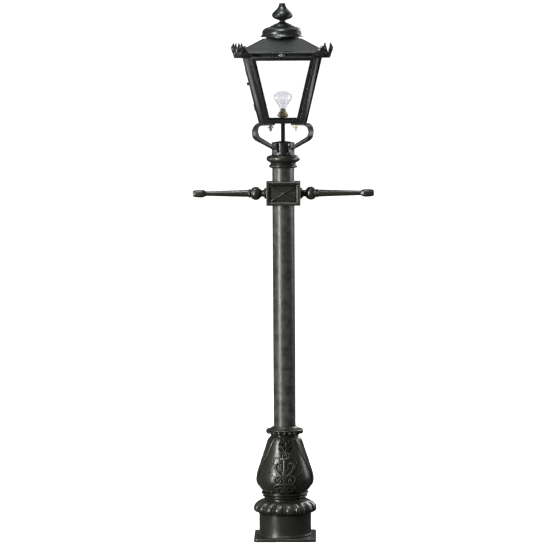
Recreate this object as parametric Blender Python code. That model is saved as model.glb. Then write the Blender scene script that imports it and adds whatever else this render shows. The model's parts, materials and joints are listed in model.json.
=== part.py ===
"""Street lamp post: cast base, tubular column, ladder rest, four-armed lantern support and
a square tapered lantern with a hinged side door.

All sizes below are in millimetres and are turned into metres when a mesh is made.
+Z is up, the front of the lamp faces -Y, and the origin is the centre of the base's underside.
"""

import math

import bmesh
import bpy
from mathutils import Matrix, Vector

MM = 0.001
GAP = 0.3                      # clearance between pieces that touch
ROUND = 24                     # sides of a large round piece
MEDIUM_ROUND = 16              # of a middling one
SMALL_ROUND = 12               # and of a small one

# Base plate and the castings that slide over the column tube
PLATE_HALF = 125.0
PLATE_CORNER = 16.0
PLATE_THICKNESS = 12.0
PLATE_BOLT_AT = 102.0
PLATE_BOLT_RADIUS = 8.0
CABLE_HOLE_RADIUS = 24.0
PLINTH_RADIUS = 105.5
PLINTH_WALL = 8.0
PLINTH_TOP = 106.0
GADROON_RADIUS = 128.5
GADROON_TOP = 158.0
GADROON_LOBES = 16
GADROON_DEPTH = 5.0
VASE_TOP = 420.0
COLLAR_TOP = 455.0
COLLAR_RADIUS = 75.0

# Column
TUBE_RADIUS = 44.5
TUBE_WALL = 5.0
TUBE_TOP = 1541.0
CAPITAL_BOTTOM = 1495.0
CAPITAL_TOP = 1546.0
SPIGOT_RADIUS = 38.0
SPIGOT_WALL = 5.0
SPIGOT_TOP = 1593.0
SPIGOT_PLUG_BOTTOM = 1472.0

# Ladder rest
BOSS_HALF = (68.5, 55.0, 48.0)
BOSS_HEIGHT = 1393.0
BOSS_BORDER = 15.0
BOSS_SUNK = 4.0
ARM_TIP = 364.0

# Lantern support
SUPPORT_RADIUS = 46.0
SUPPORT_TOP = 1602.0
SUPPORT_SHOULDER = 1597.0
SET_SCREW_HEIGHT = 1557.0
SET_SCREW_RADIUS = 4.0
BAR_WIDTH = 26.0
BAR_THICKNESS = 7.0
BAR_ROOT_RADIUS = 47.5
BAR_BEND_RADIUS = 31.0
BAR_REACH = 158.6
BAR_SLOPE = math.radians(22.4)
BAR_TOP = 1669.3               # centre line of the bar where it runs level under the tray
BAR_END_RADIUS = 58.0
FIXING_AT = 49.0               # fixing screws, from the centre along X and Y
FIXING_RADIUS = 3.0
# radius of a fixing screw's knob, and how far below the bar
FIXING_KNOB = ((0.0, 24.2), (6.0, 20.7), (6.6, 10.7), (12.6, 9.7), (12.6, 6.7), (6.2, 5.2), (6.2, 0.0))
CONDUIT_RADIUS = 9.3
CONDUIT_BORE = 7.6
CONDUIT_BOTTOM = 1587.0
CONDUIT_TOP = 1686.0

# Lantern body: half width of its outer faces at two heights gives the taper
BODY_BOTTOM = 1677.8
BODY_TOP = 1933.5
TAPER_BASE_HEIGHT = 1687.3
TAPER_BASE_HALF = 98.7
TAPER = 0.2376
TRAY_HALF = 95.0
TRAY_BOTTOM = 1673.4
TRAY_TOP = 1677.5
LEG_THICKNESS = 8.0
LEG_INNER = 30.0               # from the corner to the inner end of a post's leg
FRAME_STILE = 14.7
FRAME_BOTTOM_RAIL = 12.0
FRAME_TOP_RAIL = 10.6
FRAME_SET_BACK = 0.5
GLASS_THICKNESS = 3.0
GLASS_LAP = 2.5                # how far the glass reaches behind its frame

# Door on the left face
HINGE_IN = 26.0                # hinge axis from the rear corner
HINGE_OUT = 4.3                # and out from the face
KNUCKLE_RADIUS = 3.5
KNUCKLE_LENGTH = 14.0
HINGE_PIN_RADIUS = 1.5
HINGE_HEIGHTS = {"lower": 1735.0, "upper": 1877.0}
FIXED_FLAP = (1.8, 3.7)        # near and far sides of a hinge flap, from the axis towards the face
MOVING_FLAP = (2.0, 3.9)
FLAP_HEEL = 0.9                # how far a flap reaches past the axis
DOOR_CLEARANCE = 1.5           # under the door, which dips as it opens
KNOB_HEIGHT = 1833.0
KNOB_IN = 35.0                 # knob axis from the front corner
SPINDLE_RADIUS = 2.4
SPINDLE_HOLE = 2.8
TONGUE_LENGTH = 10.0
TONGUE_WIDTH = 6.6
TONGUE_THICKNESS = 2.4

# Roof
EAVES_BOTTOM = 1933.8
# half width and height above the eaves' bottom, round the moulding's section
EAVES_SECTION = ((182.0, 17.4), (182.0, 15.5), (179.5, 14.0), (179.5, 6.0), (183.5, 4.5), (183.5, 0.0),
                 (138.0, 0.0), (138.0, 2.5), (176.0, 2.5), (176.0, 17.4))
ROOF_HALF = 184.1
FLANGE_HALF = 177.0
FLANGE_HEIGHT = 1955.8
FLANGE_THICKNESS = 4.3
ROOF_SHEET = 3.4
DECK_HALF = 72.0               # the roof is cut level here, under the cap
DECK_HEIGHT = 2012.0
VENT_RADIUS = 66.0
VENT_WALL = 4.0
VENT_BOTTOM = 1998.0
VENT_TOP = 2047.6
VENT_SLOT = (150.0, 18.0, 16.0)
VENT_SLOT_HEIGHT = 2030.0
CREST_BASE_HALF = 187.5
CREST_BOTTOM = 1934.0
CREST_THICKNESS = 3.0
# distance from the corner of a crest's upper edge, and its height above the crest's bottom
CREST_EDGE = ((0.0, 7.0), (7.0, 45.0), (18.0, 61.0), (24.0, 49.0), (38.0, 45.0), (45.0, 33.0), (57.0, 20.0),
              (72.0, 8.0))
# height above a crest's bottom, and its outward lean there
CREST_LEAN = ((0.0, 0.0), (14.0, 2.0), (30.0, 6.0), (46.0, 9.0), (61.0, 5.0))

# Lamp
LEAD_RADIUS = 4.0
LEAD_START = (0.0, 25.0, 104.4)
LEAD_CENTRED_AT = 260.0
LEAD_END = 1691.5
TERMINAL_HALF = (11.0, 10.5, 30.0)
TERMINAL_CENTRE = (0.0, 25.0, 74.0)


# ---------------------------------------------------------------- helpers

def clear_scene():
    for item in list(bpy.data.objects):
        bpy.data.objects.remove(item, do_unlink=True)


def paint(name, colour, roughness, metallic=0.0, alpha=1.0):
    material = bpy.data.materials.new(name)
    material.use_nodes = True
    shader = material.node_tree.nodes["Principled BSDF"]
    shader.inputs["Base Color"].default_value = (*colour, 1.0)
    shader.inputs["Roughness"].default_value = roughness
    shader.inputs["Metallic"].default_value = metallic
    shader.inputs["Alpha"].default_value = alpha
    return material


def cast_iron(name):
    return paint(name, (0.028, 0.027, 0.023), 0.42, 0.0)


def coated_steel(name):
    return paint(name, (0.030, 0.032, 0.033), 0.35, 0.0)


def brass(name):
    return paint(name, (0.75, 0.60, 0.32), 0.28, 1.0)


def clear_glass(name):
    return paint(name, (0.95, 0.97, 0.97), 0.03, 0.0, 0.2)


def dark_plastic(name):
    return paint(name, (0.02, 0.02, 0.02), 0.5, 0.0)


def add_object(name, mesh, finish, parent=None):
    mesh.materials.append(finish(name))
    item = bpy.data.objects.new(name, mesh)
    bpy.context.scene.collection.objects.link(item)
    item.parent = parent
    return item


def mesh_from(name, points, faces, smooth=False):
    """A mesh from millimetre points, with its faces turned outwards."""
    work = bmesh.new()
    verts = [work.verts.new(Vector(p) * MM) for p in points]
    for face in faces:
        work.faces.new([verts[i] for i in face])
    bmesh.ops.recalc_face_normals(work, faces=work.faces)
    if work.calc_volume(signed=True) < 0.0:
        bmesh.ops.reverse_faces(work, faces=work.faces)
    mesh = bpy.data.meshes.new(name)
    work.to_mesh(mesh)
    work.free()
    if smooth:
        mesh.shade_smooth()
        mesh.set_sharp_from_angle(angle=math.radians(35.0))
    return mesh


def ring_mesh(name, profile, angles, radius_at=None, smooth=True):
    """Turn a closed (radius, height) outline through the given angles about Z."""
    points = []
    rows = []
    for index, (radius, height) in enumerate(profile):
        if radius == 0.0:
            points.append((0.0, 0.0, height))
            rows.append([len(points) - 1] * len(angles))
            continue
        row = []
        for angle in angles:
            r = radius_at(index, angle) if radius_at else radius
            points.append((r * math.cos(angle), r * math.sin(angle), height))
            row.append(len(points) - 1)
        rows.append(row)
    faces = []
    for i in range(len(profile)):
        lower, upper = rows[i], rows[(i + 1) % len(profile)]
        for j in range(len(angles)):
            k = (j + 1) % len(angles)
            corners = [lower[j], lower[k], upper[k], upper[j]]
            face = list(dict.fromkeys(corners))
            if len(face) >= 3:
                faces.append(face)
    return mesh_from(name, points, faces, smooth)


def turned(name, profile, finish, sides=ROUND, parent=None):
    """A lathe-turned piece about Z."""
    angles = [2.0 * math.pi * i / sides for i in range(sides)]
    return add_object(name, ring_mesh(name, profile, angles), finish, parent)


def squared(name, profile, finish):
    """A square ring or pyramid: the outline gives half width and height."""
    root2 = math.sqrt(2.0)
    angles = [math.radians(45.0 + 90.0 * i) for i in range(4)]
    corners = [(half * root2, height) for half, height in profile]
    return add_object(name, ring_mesh(name, corners, angles, smooth=False), finish)


def prism_mesh(name, lower, upper):
    """A solid between two outlines with the same number of points."""
    count = len(lower)
    faces = [list(range(count)), list(range(count, 2 * count))]
    for i in range(count):
        j = (i + 1) % count
        faces.append([i, j, count + j, count + i])
    return mesh_from(name, list(lower) + list(upper), faces)


def box_mesh(name, half, centre=(0.0, 0.0, 0.0)):
    corners = ((-1, -1), (1, -1), (1, 1), (-1, 1))
    lower = [(centre[0] + x * half[0], centre[1] + y * half[1], centre[2] - half[2]) for x, y in corners]
    upper = [(x, y, centre[2] + half[2]) for x, y, _ in lower]
    return prism_mesh(name, lower, upper)


def cylinder_mesh(name, radius, low, high, sides=SMALL_ROUND):
    angles = [2.0 * math.pi * i / sides for i in range(sides)]
    lower = [(radius * math.cos(a), radius * math.sin(a), low) for a in angles]
    upper = [(x, y, high) for x, y, _ in lower]
    return prism_mesh(name, lower, upper)


def cut(target, cutter_mesh, place=Matrix()):
    """Cut a hole with a hidden wire cutter."""
    cutter = bpy.data.objects.new(cutter_mesh.name, cutter_mesh)
    bpy.context.scene.collection.objects.link(cutter)
    cutter.matrix_world = place
    cutter.hide_render = True
    cutter.display_type = "WIRE"
    modifier = target.modifiers.new(cutter_mesh.name, "BOOLEAN")
    modifier.operation = "DIFFERENCE"
    modifier.solver = "EXACT"
    modifier.object = cutter


def place_mm(x, y, z, rotation=Matrix()):
    return Matrix.Translation(Vector((x, y, z)) * MM) @ rotation


def wall_half(height):
    """Half width of the lantern's outer faces at a height."""
    return TAPER_BASE_HALF + TAPER * (height - TAPER_BASE_HEIGHT)


# ---------------------------------------------------------------- base

def base_plate():
    outline = []
    inner = PLATE_HALF - PLATE_CORNER
    for index, (x, y) in enumerate(((1, 1), (-1, 1), (-1, -1), (1, -1))):
        for step in range(5):
            angle = math.radians(90.0 * index + 22.5 * step)
            outline.append((x * inner + PLATE_CORNER * math.cos(angle),
                            y * inner + PLATE_CORNER * math.sin(angle), 0.0))
    top = [(x, y, PLATE_THICKNESS) for x, y, _ in outline]
    plate = add_object("base_plate", prism_mesh("base_plate", outline, top), cast_iron)
    below, above = -5.0, PLATE_THICKNESS + 5.0
    cut(plate, cylinder_mesh("cable_hole", CABLE_HOLE_RADIUS, below, above, 24))
    for x in (-1, 1):
        for y in (-1, 1):
            hole = cylinder_mesh("bolt_hole", PLATE_BOLT_RADIUS, below, above, 12)
            cut(plate, hole, place_mm(x * PLATE_BOLT_AT, y * PLATE_BOLT_AT, 0.0))


def plinth():
    bottom = PLATE_THICKNESS + GAP
    inner = PLINTH_RADIUS - PLINTH_WALL
    profile = ((PLINTH_RADIUS + 2.5, bottom), (PLINTH_RADIUS + 2.5, bottom + 6.0), (PLINTH_RADIUS, bottom + 10.0),
               (PLINTH_RADIUS, PLINTH_TOP), (inner, PLINTH_TOP), (inner, bottom))
    turned("plinth", profile, cast_iron)


def gadroon_ring():
    """A swelling ring with a lobe every 22.5 degrees and a groove between lobes."""
    bottom = PLINTH_TOP + GAP
    outer = ((108.0, bottom), (122.0, 109.0), (GADROON_RADIUS, 121.0), (124.0, 136.0), (110.0, 149.0),
             (88.0, GADROON_TOP))
    inner = ((78.0, GADROON_TOP), (78.0, 140.0), (96.0, bottom))
    profile = outer + inner
    grooved = range(1, 5)
    steps = 3

    def radius_at(index, angle):
        radius = profile[index][0]
        on_groove = round(angle / (2.0 * math.pi) * GADROON_LOBES * steps) % steps == 0
        return radius - GADROON_DEPTH if on_groove and index in grooved else radius

    count = GADROON_LOBES * steps
    angles = [2.0 * math.pi * i / count for i in range(count)]
    mesh = ring_mesh("gadroon_ring", profile, angles, radius_at)
    add_object("gadroon_ring", mesh, cast_iron)


def base_vase():
    bottom = GADROON_TOP + GAP
    bore = TUBE_RADIUS + GAP
    outer = ((84.0, bottom), (84.0, 164.0), (88.0, 169.0), (87.0, 174.0), (95.0, 183.0), (92.0, 191.0),
             (106.0, 212.0), (112.5, 226.0), (114.0, 238.0), (112.0, 256.0), (100.0, 300.0), (78.5, 364.0),
             (68.0, 400.0), (57.0, 415.0), (54.5, VASE_TOP))
    inner = ((bore, VASE_TOP), (bore, 390.0), (98.0, 270.0), (102.0, 238.0), (76.0, bottom))
    turned("base_vase", outer + inner, cast_iron)


def beaded_collar():
    bottom = VASE_TOP + GAP
    bore = TUBE_RADIUS + GAP
    profile = ((56.0, bottom), (69.0, 425.0), (COLLAR_RADIUS, 433.0), (73.0, 440.0), (61.0, 446.0),
               (47.0, COLLAR_TOP), (bore, COLLAR_TOP), (bore, bottom))
    turned("beaded_collar", profile, cast_iron)


# ---------------------------------------------------------------- column

def shaft_tube():
    bottom = PLATE_THICKNESS + GAP
    bore = TUBE_RADIUS - TUBE_WALL
    profile = ((TUBE_RADIUS, bottom), (TUBE_RADIUS, TUBE_TOP), (bore, TUBE_TOP), (bore, bottom))
    turned("shaft_tube", profile, coated_steel)


def column_capital():
    bore = TUBE_RADIUS + GAP
    profile = ((bore, CAPITAL_BOTTOM), (51.0, CAPITAL_BOTTOM), (56.6, 1502.0), (53.0, 1512.0), (55.0, 1520.0),
               (64.0, 1523.0), (67.4, 1532.0), (63.0, 1542.0), (52.0, CAPITAL_TOP), (bore, CAPITAL_TOP))
    turned("column_capital", profile, cast_iron)


def top_spigot():
    plug = TUBE_RADIUS - TUBE_WALL - GAP
    bore = SPIGOT_RADIUS - SPIGOT_WALL
    shoulder = TUBE_TOP + GAP
    profile = ((plug, SPIGOT_PLUG_BOTTOM), (plug, shoulder), (TUBE_RADIUS - 0.2, shoulder),
               (TUBE_RADIUS - 0.2, CAPITAL_TOP - 0.3), (SPIGOT_RADIUS, CAPITAL_TOP - 0.3),
               (SPIGOT_RADIUS, SPIGOT_TOP), (bore, SPIGOT_TOP), (bore, SPIGOT_PLUG_BOTTOM))
    turned("top_spigot", profile, coated_steel)


# ---------------------------------------------------------------- ladder rest

def panel_block_points():
    """A block with a sunk panel, raised to a low point, in its front and rear faces."""
    half_x, half_y, half_z = BOSS_HALF
    points = []
    for side in (-1, 1):
        outer_y = side * half_y
        sunk_y = side * (half_y - BOSS_SUNK)
        frame_x, frame_z = half_x - BOSS_BORDER, half_z - BOSS_BORDER
        for x, z in ((-1, -1), (1, -1), (1, 1), (-1, 1)):
            points.append((x * half_x, outer_y, BOSS_HEIGHT + z * half_z))
        for x, z in ((-1, -1), (1, -1), (1, 1), (-1, 1)):
            points.append((x * frame_x, outer_y, BOSS_HEIGHT + z * frame_z))
        for x, z in ((-1, -1), (1, -1), (1, 1), (-1, 1)):
            points.append((x * (frame_x - 3.0), sunk_y, BOSS_HEIGHT + z * (frame_z - 3.0)))
        points.append((0.0, outer_y - side * 0.5, BOSS_HEIGHT))
    return points


def ladder_boss():
    points = panel_block_points()
    per_side = len(points) // 2
    faces = []
    for side in (0, 1):
        first = side * per_side
        for ring in (0, 4):
            for i in range(4):
                j = (i + 1) % 4
                faces.append([first + ring + i, first + ring + j, first + ring + 4 + j, first + ring + 4 + i])
        for i in range(4):
            faces.append([first + 8 + i, first + 8 + (i + 1) % 4, first + 12])
    for i in range(4):
        j = (i + 1) % 4
        faces.append([i, j, per_side + j, per_side + i])
    block = add_object("ladder_boss", mesh_from("ladder_boss", points, faces), cast_iron)
    low, high = BOSS_HEIGHT - BOSS_HALF[2] - 5.0, BOSS_HEIGHT + BOSS_HALF[2] + 5.0
    cut(block, cylinder_mesh("boss_bore", TUBE_RADIUS + GAP, low, high, ROUND))


def ladder_arm(name, side):
    """A turned bar, bossed at the block and knobbed at the tip."""
    start = BOSS_HALF[0] + GAP
    ball_centre, ball_half, ball_radius = 110.5, 22.0, 27.0
    profile = [(0.0, start), (22.5, start), (22.5, 75.5), (17.0, 78.0), (14.0, 81.0), (14.0, 89.0)]
    for step in range(1, 6):
        angle = math.pi * step / 6.0
        profile.append((ball_radius * math.sin(angle), ball_centre - ball_half * math.cos(angle)))
    profile += [(17.0, 133.0), (17.0, 140.0), (14.3, 146.0), (9.6, 309.0), (15.0, 321.0), (15.6, 334.0),
                (13.0, 357.0), (0.0, ARM_TIP)]
    lay_down = Matrix.Rotation(math.radians(90.0 * side), 4, "Y")
    arm = turned(name, profile, cast_iron, SMALL_ROUND)
    arm.matrix_world = place_mm(0.0, 0.0, BOSS_HEIGHT, lay_down)


# ---------------------------------------------------------------- lantern support

def diagonal(index):
    return math.radians(45.0 + 90.0 * index)


CORNER_NAMES = ("rear_right", "rear_left", "front_left", "front_right")


def support_collar():
    bore = SPIGOT_RADIUS + GAP
    bottom = CAPITAL_TOP + GAP
    web = SPIGOT_TOP + GAP
    hole = CONDUIT_RADIUS + GAP
    profile = ((SUPPORT_RADIUS, bottom), (SUPPORT_RADIUS, SUPPORT_SHOULDER), (43.0, SUPPORT_SHOULDER + 1.5),
               (16.0, SUPPORT_TOP), (hole, SUPPORT_TOP), (hole, web), (bore, web), (bore, bottom))
    collar = turned("support_collar", profile, coated_steel)
    for index in range(4):
        reach = cylinder_mesh("set_screw_hole", SET_SCREW_RADIUS + GAP, 30.0, 60.0, 8)
        outward = Matrix.Rotation(diagonal(index), 4, "Z") @ Matrix.Rotation(math.radians(90.0), 4, "Y")
        cut(collar, reach, place_mm(0.0, 0.0, SET_SCREW_HEIGHT, outward))


def support_set_screw(index):
    """A socket set screw on a diagonal, clamping the collar to the spigot."""
    inner = SPIGOT_RADIUS + GAP
    outer = SUPPORT_RADIUS + 2.5
    socket = 1.8
    profile = ((0.0, inner), (SET_SCREW_RADIUS, inner), (SET_SCREW_RADIUS, outer), (socket, outer),
               (socket, outer - 3.0), (0.0, outer - 3.0))
    screw = turned("support_set_screw_" + CORNER_NAMES[index], profile, coated_steel, 8)
    outward = Matrix.Rotation(diagonal(index), 4, "Z") @ Matrix.Rotation(math.radians(90.0), 4, "Y")
    screw.matrix_world = place_mm(0.0, 0.0, SET_SCREW_HEIGHT, outward)


def bar_centre_line():
    """Distance from the column's axis and height, along one support bar."""
    bend_r = BAR_REACH - BAR_BEND_RADIUS
    bend_z = BAR_TOP - BAR_BEND_RADIUS
    first = -(math.pi / 2.0 - BAR_SLOPE)
    start_r = bend_r + BAR_BEND_RADIUS * math.cos(first)
    start_z = bend_z + BAR_BEND_RADIUS * math.sin(first)
    line = [(BAR_ROOT_RADIUS, start_z - (start_r - BAR_ROOT_RADIUS) * math.tan(BAR_SLOPE))]
    steps = 8
    for step in range(steps + 1):
        angle = first + (math.pi / 2.0 - first) * step / steps
        line.append((bend_r + BAR_BEND_RADIUS * math.cos(angle), bend_z + BAR_BEND_RADIUS * math.sin(angle)))
    line.append((BAR_END_RADIUS, BAR_TOP))
    return line


def support_bar(index):
    """A flat bar that rises from the collar and curls back under the lantern's corner."""
    line = [Vector((r, 0.0, z)) for r, z in bar_centre_line()]
    half_w, half_t = BAR_WIDTH / 2.0, BAR_THICKNESS / 2.0
    points = []
    for i, here in enumerate(line):
        along = (line[min(i + 1, len(line) - 1)] - line[max(i - 1, 0)]).normalized()
        if i == 0:
            along = Vector((1.0, 0.0, 0.0))
        across = Vector((along.z, 0.0, -along.x))
        thick = half_t / math.cos(BAR_SLOPE) if i == 0 else half_t
        for w, t in ((-1, -1), (1, -1), (1, 1), (-1, 1)):
            points.append(here + across * (t * thick) + Vector((0.0, w * half_w, 0.0)))
    faces = [[0, 1, 2, 3], [len(points) - 4 + i for i in range(4)]]
    for i in range(len(line) - 1):
        for j in range(4):
            k = (j + 1) % 4
            faces.append([4 * i + j, 4 * i + k, 4 * i + 4 + k, 4 * i + 4 + j])
    name = "support_bar_" + CORNER_NAMES[index]
    bar = add_object(name, mesh_from(name, points, faces), coated_steel)
    bar.rotation_euler.z = diagonal(index)
    hole = cylinder_mesh("bar_hole", FIXING_RADIUS + 2.0 * GAP, BAR_TOP - 20.0, BAR_TOP + 20.0, 10)
    sign_x, sign_y = math.cos(diagonal(index)), math.sin(diagonal(index))
    reach = FIXING_AT * math.sqrt(2.0)
    cut(bar, hole, place_mm(sign_x * reach, sign_y * reach, 0.0))


def fixing_screw(index):
    """A brass thumb screw that clamps the lantern's tray to a support bar."""
    head_top = BAR_TOP - BAR_THICKNESS / 2.0 - GAP
    knob = [(radius, head_top - drop) for radius, drop in FIXING_KNOB]
    profile = knob + [(FIXING_RADIUS, head_top), (FIXING_RADIUS, TRAY_TOP + 6.0), (0.0, TRAY_TOP + 6.0)]
    screw = turned("fixing_screw_" + CORNER_NAMES[index], profile, brass, 10)
    reach = FIXING_AT * math.sqrt(2.0)
    screw.location = Vector((reach * math.cos(diagonal(index)), reach * math.sin(diagonal(index)), 0.0)) * MM


def conduit_tube():
    profile = ((CONDUIT_RADIUS, CONDUIT_BOTTOM), (CONDUIT_RADIUS, CONDUIT_TOP), (CONDUIT_BORE, CONDUIT_TOP),
               (CONDUIT_BORE, CONDUIT_BOTTOM))
    turned("conduit_tube", profile, coated_steel, SMALL_ROUND)


# ---------------------------------------------------------------- wiring

def terminal_block():
    mesh = box_mesh("terminal_block", TERMINAL_HALF, TERMINAL_CENTRE)
    block = add_object("terminal_block", mesh, dark_plastic)
    bevel = block.modifiers.new("edges", "BEVEL")
    bevel.width = 1.0 * MM
    bevel.segments = 1


def lamp_lead():
    """The lead from the terminal block, swinging to the middle of the tube and up to the lamp."""
    start = Vector(LEAD_START)
    bend_steps = 10
    route = [start.copy()]
    for step in range(1, bend_steps + 1):
        t = step / bend_steps
        ease = t * t * (3.0 - 2.0 * t)
        height = start.z + (LEAD_CENTRED_AT - start.z) * t
        route.append(Vector((start.x * (1.0 - ease), start.y * (1.0 - ease), height)))
    straight_steps = 6
    for step in range(1, straight_steps + 1):
        height = LEAD_CENTRED_AT + (LEAD_END - LEAD_CENTRED_AT) * step / straight_steps
        route.append(Vector((0.0, 0.0, height)))
    curve = bpy.data.curves.new("lamp_lead", "CURVE")
    curve.dimensions = "3D"
    curve.bevel_depth = LEAD_RADIUS * MM
    curve.bevel_resolution = 2
    curve.use_fill_caps = True
    spline = curve.splines.new("POLY")
    spline.points.add(len(route) - 1)
    for point, place in zip(spline.points, route):
        point.co = (*(place * MM), 1.0)
    add_object("lamp_lead", curve, dark_plastic)


# ---------------------------------------------------------------- lantern body

def base_tray():
    outline = [(-TRAY_HALF, -TRAY_HALF, TRAY_BOTTOM), (TRAY_HALF, -TRAY_HALF, TRAY_BOTTOM),
               (TRAY_HALF, TRAY_HALF, TRAY_BOTTOM), (-TRAY_HALF, TRAY_HALF, TRAY_BOTTOM)]
    upper = [(x, y, TRAY_TOP) for x, y, _ in outline]
    tray = add_object("base_tray", prism_mesh("base_tray", outline, upper), coated_steel)
    low, high = TRAY_BOTTOM - 5.0, TRAY_TOP + 5.0
    cut(tray, cylinder_mesh("conduit_hole", CONDUIT_RADIUS + GAP, low, high))
    for x in (-1, 1):
        for y in (-1, 1):
            hole = cylinder_mesh("fixing_hole", FIXING_RADIUS + 2.0 * GAP, low, high, 10)
            cut(tray, hole, place_mm(x * FIXING_AT, y * FIXING_AT, 0.0))


# A post's section, from its outer corner: two legs joined by a bevelled web
POST_SECTION = ((LEG_INNER, 0.0), (19.0, 0.0), (19.0, 7.0), (7.0, 19.0), (0.0, 19.0), (0.0, LEG_INNER),
                (LEG_THICKNESS, LEG_INNER), (LEG_THICKNESS, 24.0), (24.0, LEG_THICKNESS),
                (LEG_INNER, LEG_THICKNESS))


def corner_post(index):
    """A leaning corner post, the same section all the way up."""
    sign_x = 1.0 if math.cos(diagonal(index)) > 0.0 else -1.0
    sign_y = 1.0 if math.sin(diagonal(index)) > 0.0 else -1.0

    def outline(height):
        half = wall_half(height)
        return [(sign_x * (half - u), sign_y * (half - v), height) for u, v in POST_SECTION]

    name = "corner_post_" + CORNER_NAMES[index]
    add_object(name, prism_mesh(name, outline(BODY_BOTTOM), outline(BODY_TOP)), coated_steel)


FACE_TURNS = {"front": 0.0, "right": 90.0, "rear": 180.0, "left": 270.0}


def on_face(face, along, height, depth):
    """A point on a lantern face: along it, up it, and in from its outer plane."""
    turn = math.radians(FACE_TURNS[face])
    x, y = along, depth - wall_half(height)
    return (x * math.cos(turn) - y * math.sin(turn), x * math.sin(turn) + y * math.cos(turn), height)


def face_outline(face, low, high, from_corner, depth):
    corners = ((-1, low), (1, low), (1, high), (-1, high))
    return [on_face(face, side * (wall_half(h) - from_corner), h, depth) for side, h in corners]


def glazing_frame(name, face, clearance=GAP):
    """A flat frame that fills a face between its two posts."""
    outer_in = LEG_INNER + GAP
    inner_in = LEG_INNER + FRAME_STILE
    low, high = BODY_BOTTOM + GAP + FRAME_BOTTOM_RAIL, BODY_TOP - GAP - FRAME_TOP_RAIL
    points = []
    for depth in (FRAME_SET_BACK, LEG_THICKNESS):
        points += face_outline(face, BODY_BOTTOM + clearance, BODY_TOP - GAP, outer_in, depth)
        points += face_outline(face, low, high, inner_in, depth)
    faces = []
    for i in range(4):
        j = (i + 1) % 4
        faces.append([i, j, 4 + j, 4 + i])
        faces.append([8 + i, 8 + j, 12 + j, 12 + i])
        faces.append([i, j, 8 + j, 8 + i])
        faces.append([4 + i, 4 + j, 12 + j, 12 + i])
    return add_object(name, mesh_from(name, points, faces), coated_steel)


def glass_pane(name, face):
    """A pane lying behind its frame, lapping it on all four sides."""
    from_corner = LEG_INNER + FRAME_STILE - GLASS_LAP
    low = BODY_BOTTOM + FRAME_BOTTOM_RAIL - GLASS_LAP
    high = BODY_TOP - FRAME_TOP_RAIL + GLASS_LAP
    near = LEG_THICKNESS + GAP
    lower = face_outline(face, low, high, from_corner, near)
    upper = face_outline(face, low, high, from_corner, near + GLASS_THICKNESS)
    return add_object(name, prism_mesh(name, lower, upper), clear_glass)


# ---------------------------------------------------------------- door

def hinge_line():
    """A point on the door's hinge axis and its upward direction."""
    height = BODY_BOTTOM
    half = wall_half(height)
    point = Vector((-half - HINGE_OUT, half - HINGE_IN, height))
    return point, Vector((-TAPER, TAPER, 1.0)).normalized()


def hinge_place(height):
    """A frame on the hinge axis: Z up the axis, X towards the door's free edge, Y into the lantern."""
    point, up = hinge_line()
    centre = point + up * ((height - point.z) / up.z)
    inward = Vector((1.0, 0.0, TAPER)).normalized()
    towards_free = inward.cross(up).normalized()
    if towards_free.y > 0.0:
        towards_free.negate()
    inward = up.cross(towards_free)
    axes = Matrix((towards_free, inward, up)).transposed().to_4x4()
    return Matrix.Translation(centre * MM) @ axes


def knuckle_section(flap_reach, flap_near, flap_far):
    """A round knuckle with a flat flap at its side, as one outline."""
    start = math.asin(flap_near / KNUCKLE_RADIUS)
    foot = math.acos(-FLAP_HEEL / KNUCKLE_RADIUS)
    steps = 9
    outline = [(flap_reach, flap_far), (flap_reach, flap_near)]
    for step in range(steps + 1):
        angle = start + (foot - 2.0 * math.pi - start) * step / steps
        outline.append((KNUCKLE_RADIUS * math.cos(angle), KNUCKLE_RADIUS * math.sin(angle)))
    outline.append((-FLAP_HEEL, flap_far))
    return outline


def hinge_half(name, height, low, high, flap_reach, side, pin):
    """One half of a lift-off hinge; the fixed half carries the pin."""
    near, far = MOVING_FLAP if side > 0 else FIXED_FLAP
    section = knuckle_section(flap_reach, near, far)
    lower = [(side * x, y, low) for x, y in section]
    upper = [(side * x, y, high) for x, y in section]
    half = add_object(name, prism_mesh(name, lower, upper), coated_steel)
    place = hinge_place(height)
    half.matrix_world = place
    if pin:
        tall = cylinder_mesh("hinge_pin", HINGE_PIN_RADIUS, high - 2.0, high + KNUCKLE_LENGTH - 2.0, 12)
        joined = bpy.data.objects.new(name + "_pin", tall)
        bpy.context.scene.collection.objects.link(joined)
        joined.matrix_world = place
        joined.hide_render = True
        joined.display_type = "WIRE"
        modifier = half.modifiers.new("pin", "BOOLEAN")
        modifier.operation = "UNION"
        modifier.solver = "EXACT"
        modifier.object = joined
    else:
        bore = cylinder_mesh("hinge_bore", HINGE_PIN_RADIUS + 0.1, low - 2.0, low + KNUCKLE_LENGTH - 1.0, 12)
        cut(half, bore, place)
    return half


def door_hinges(door_axis):
    for which, height in HINGE_HEIGHTS.items():
        hinge_half("hinge_fixed_" + which, height, -KNUCKLE_LENGTH, -0.2, 6.6, -1, True)
        leaf = hinge_half("hinge_leaf_" + which, height, 0.2, KNUCKLE_LENGTH, 14.0, 1, False)
        keep_place(leaf, door_axis)


def keep_place(item, parent):
    """Parent a piece without moving it."""
    bpy.context.view_layer.update()
    world = item.matrix_world.copy()
    item.parent = parent
    item.matrix_parent_inverse = parent.matrix_world.inverted()
    item.matrix_world = world


def axis_empty(name, matrix):
    empty = bpy.data.objects.new(name, None)
    bpy.context.scene.collection.objects.link(empty)
    empty.matrix_world = matrix
    bpy.context.view_layer.update()
    return empty


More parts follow.
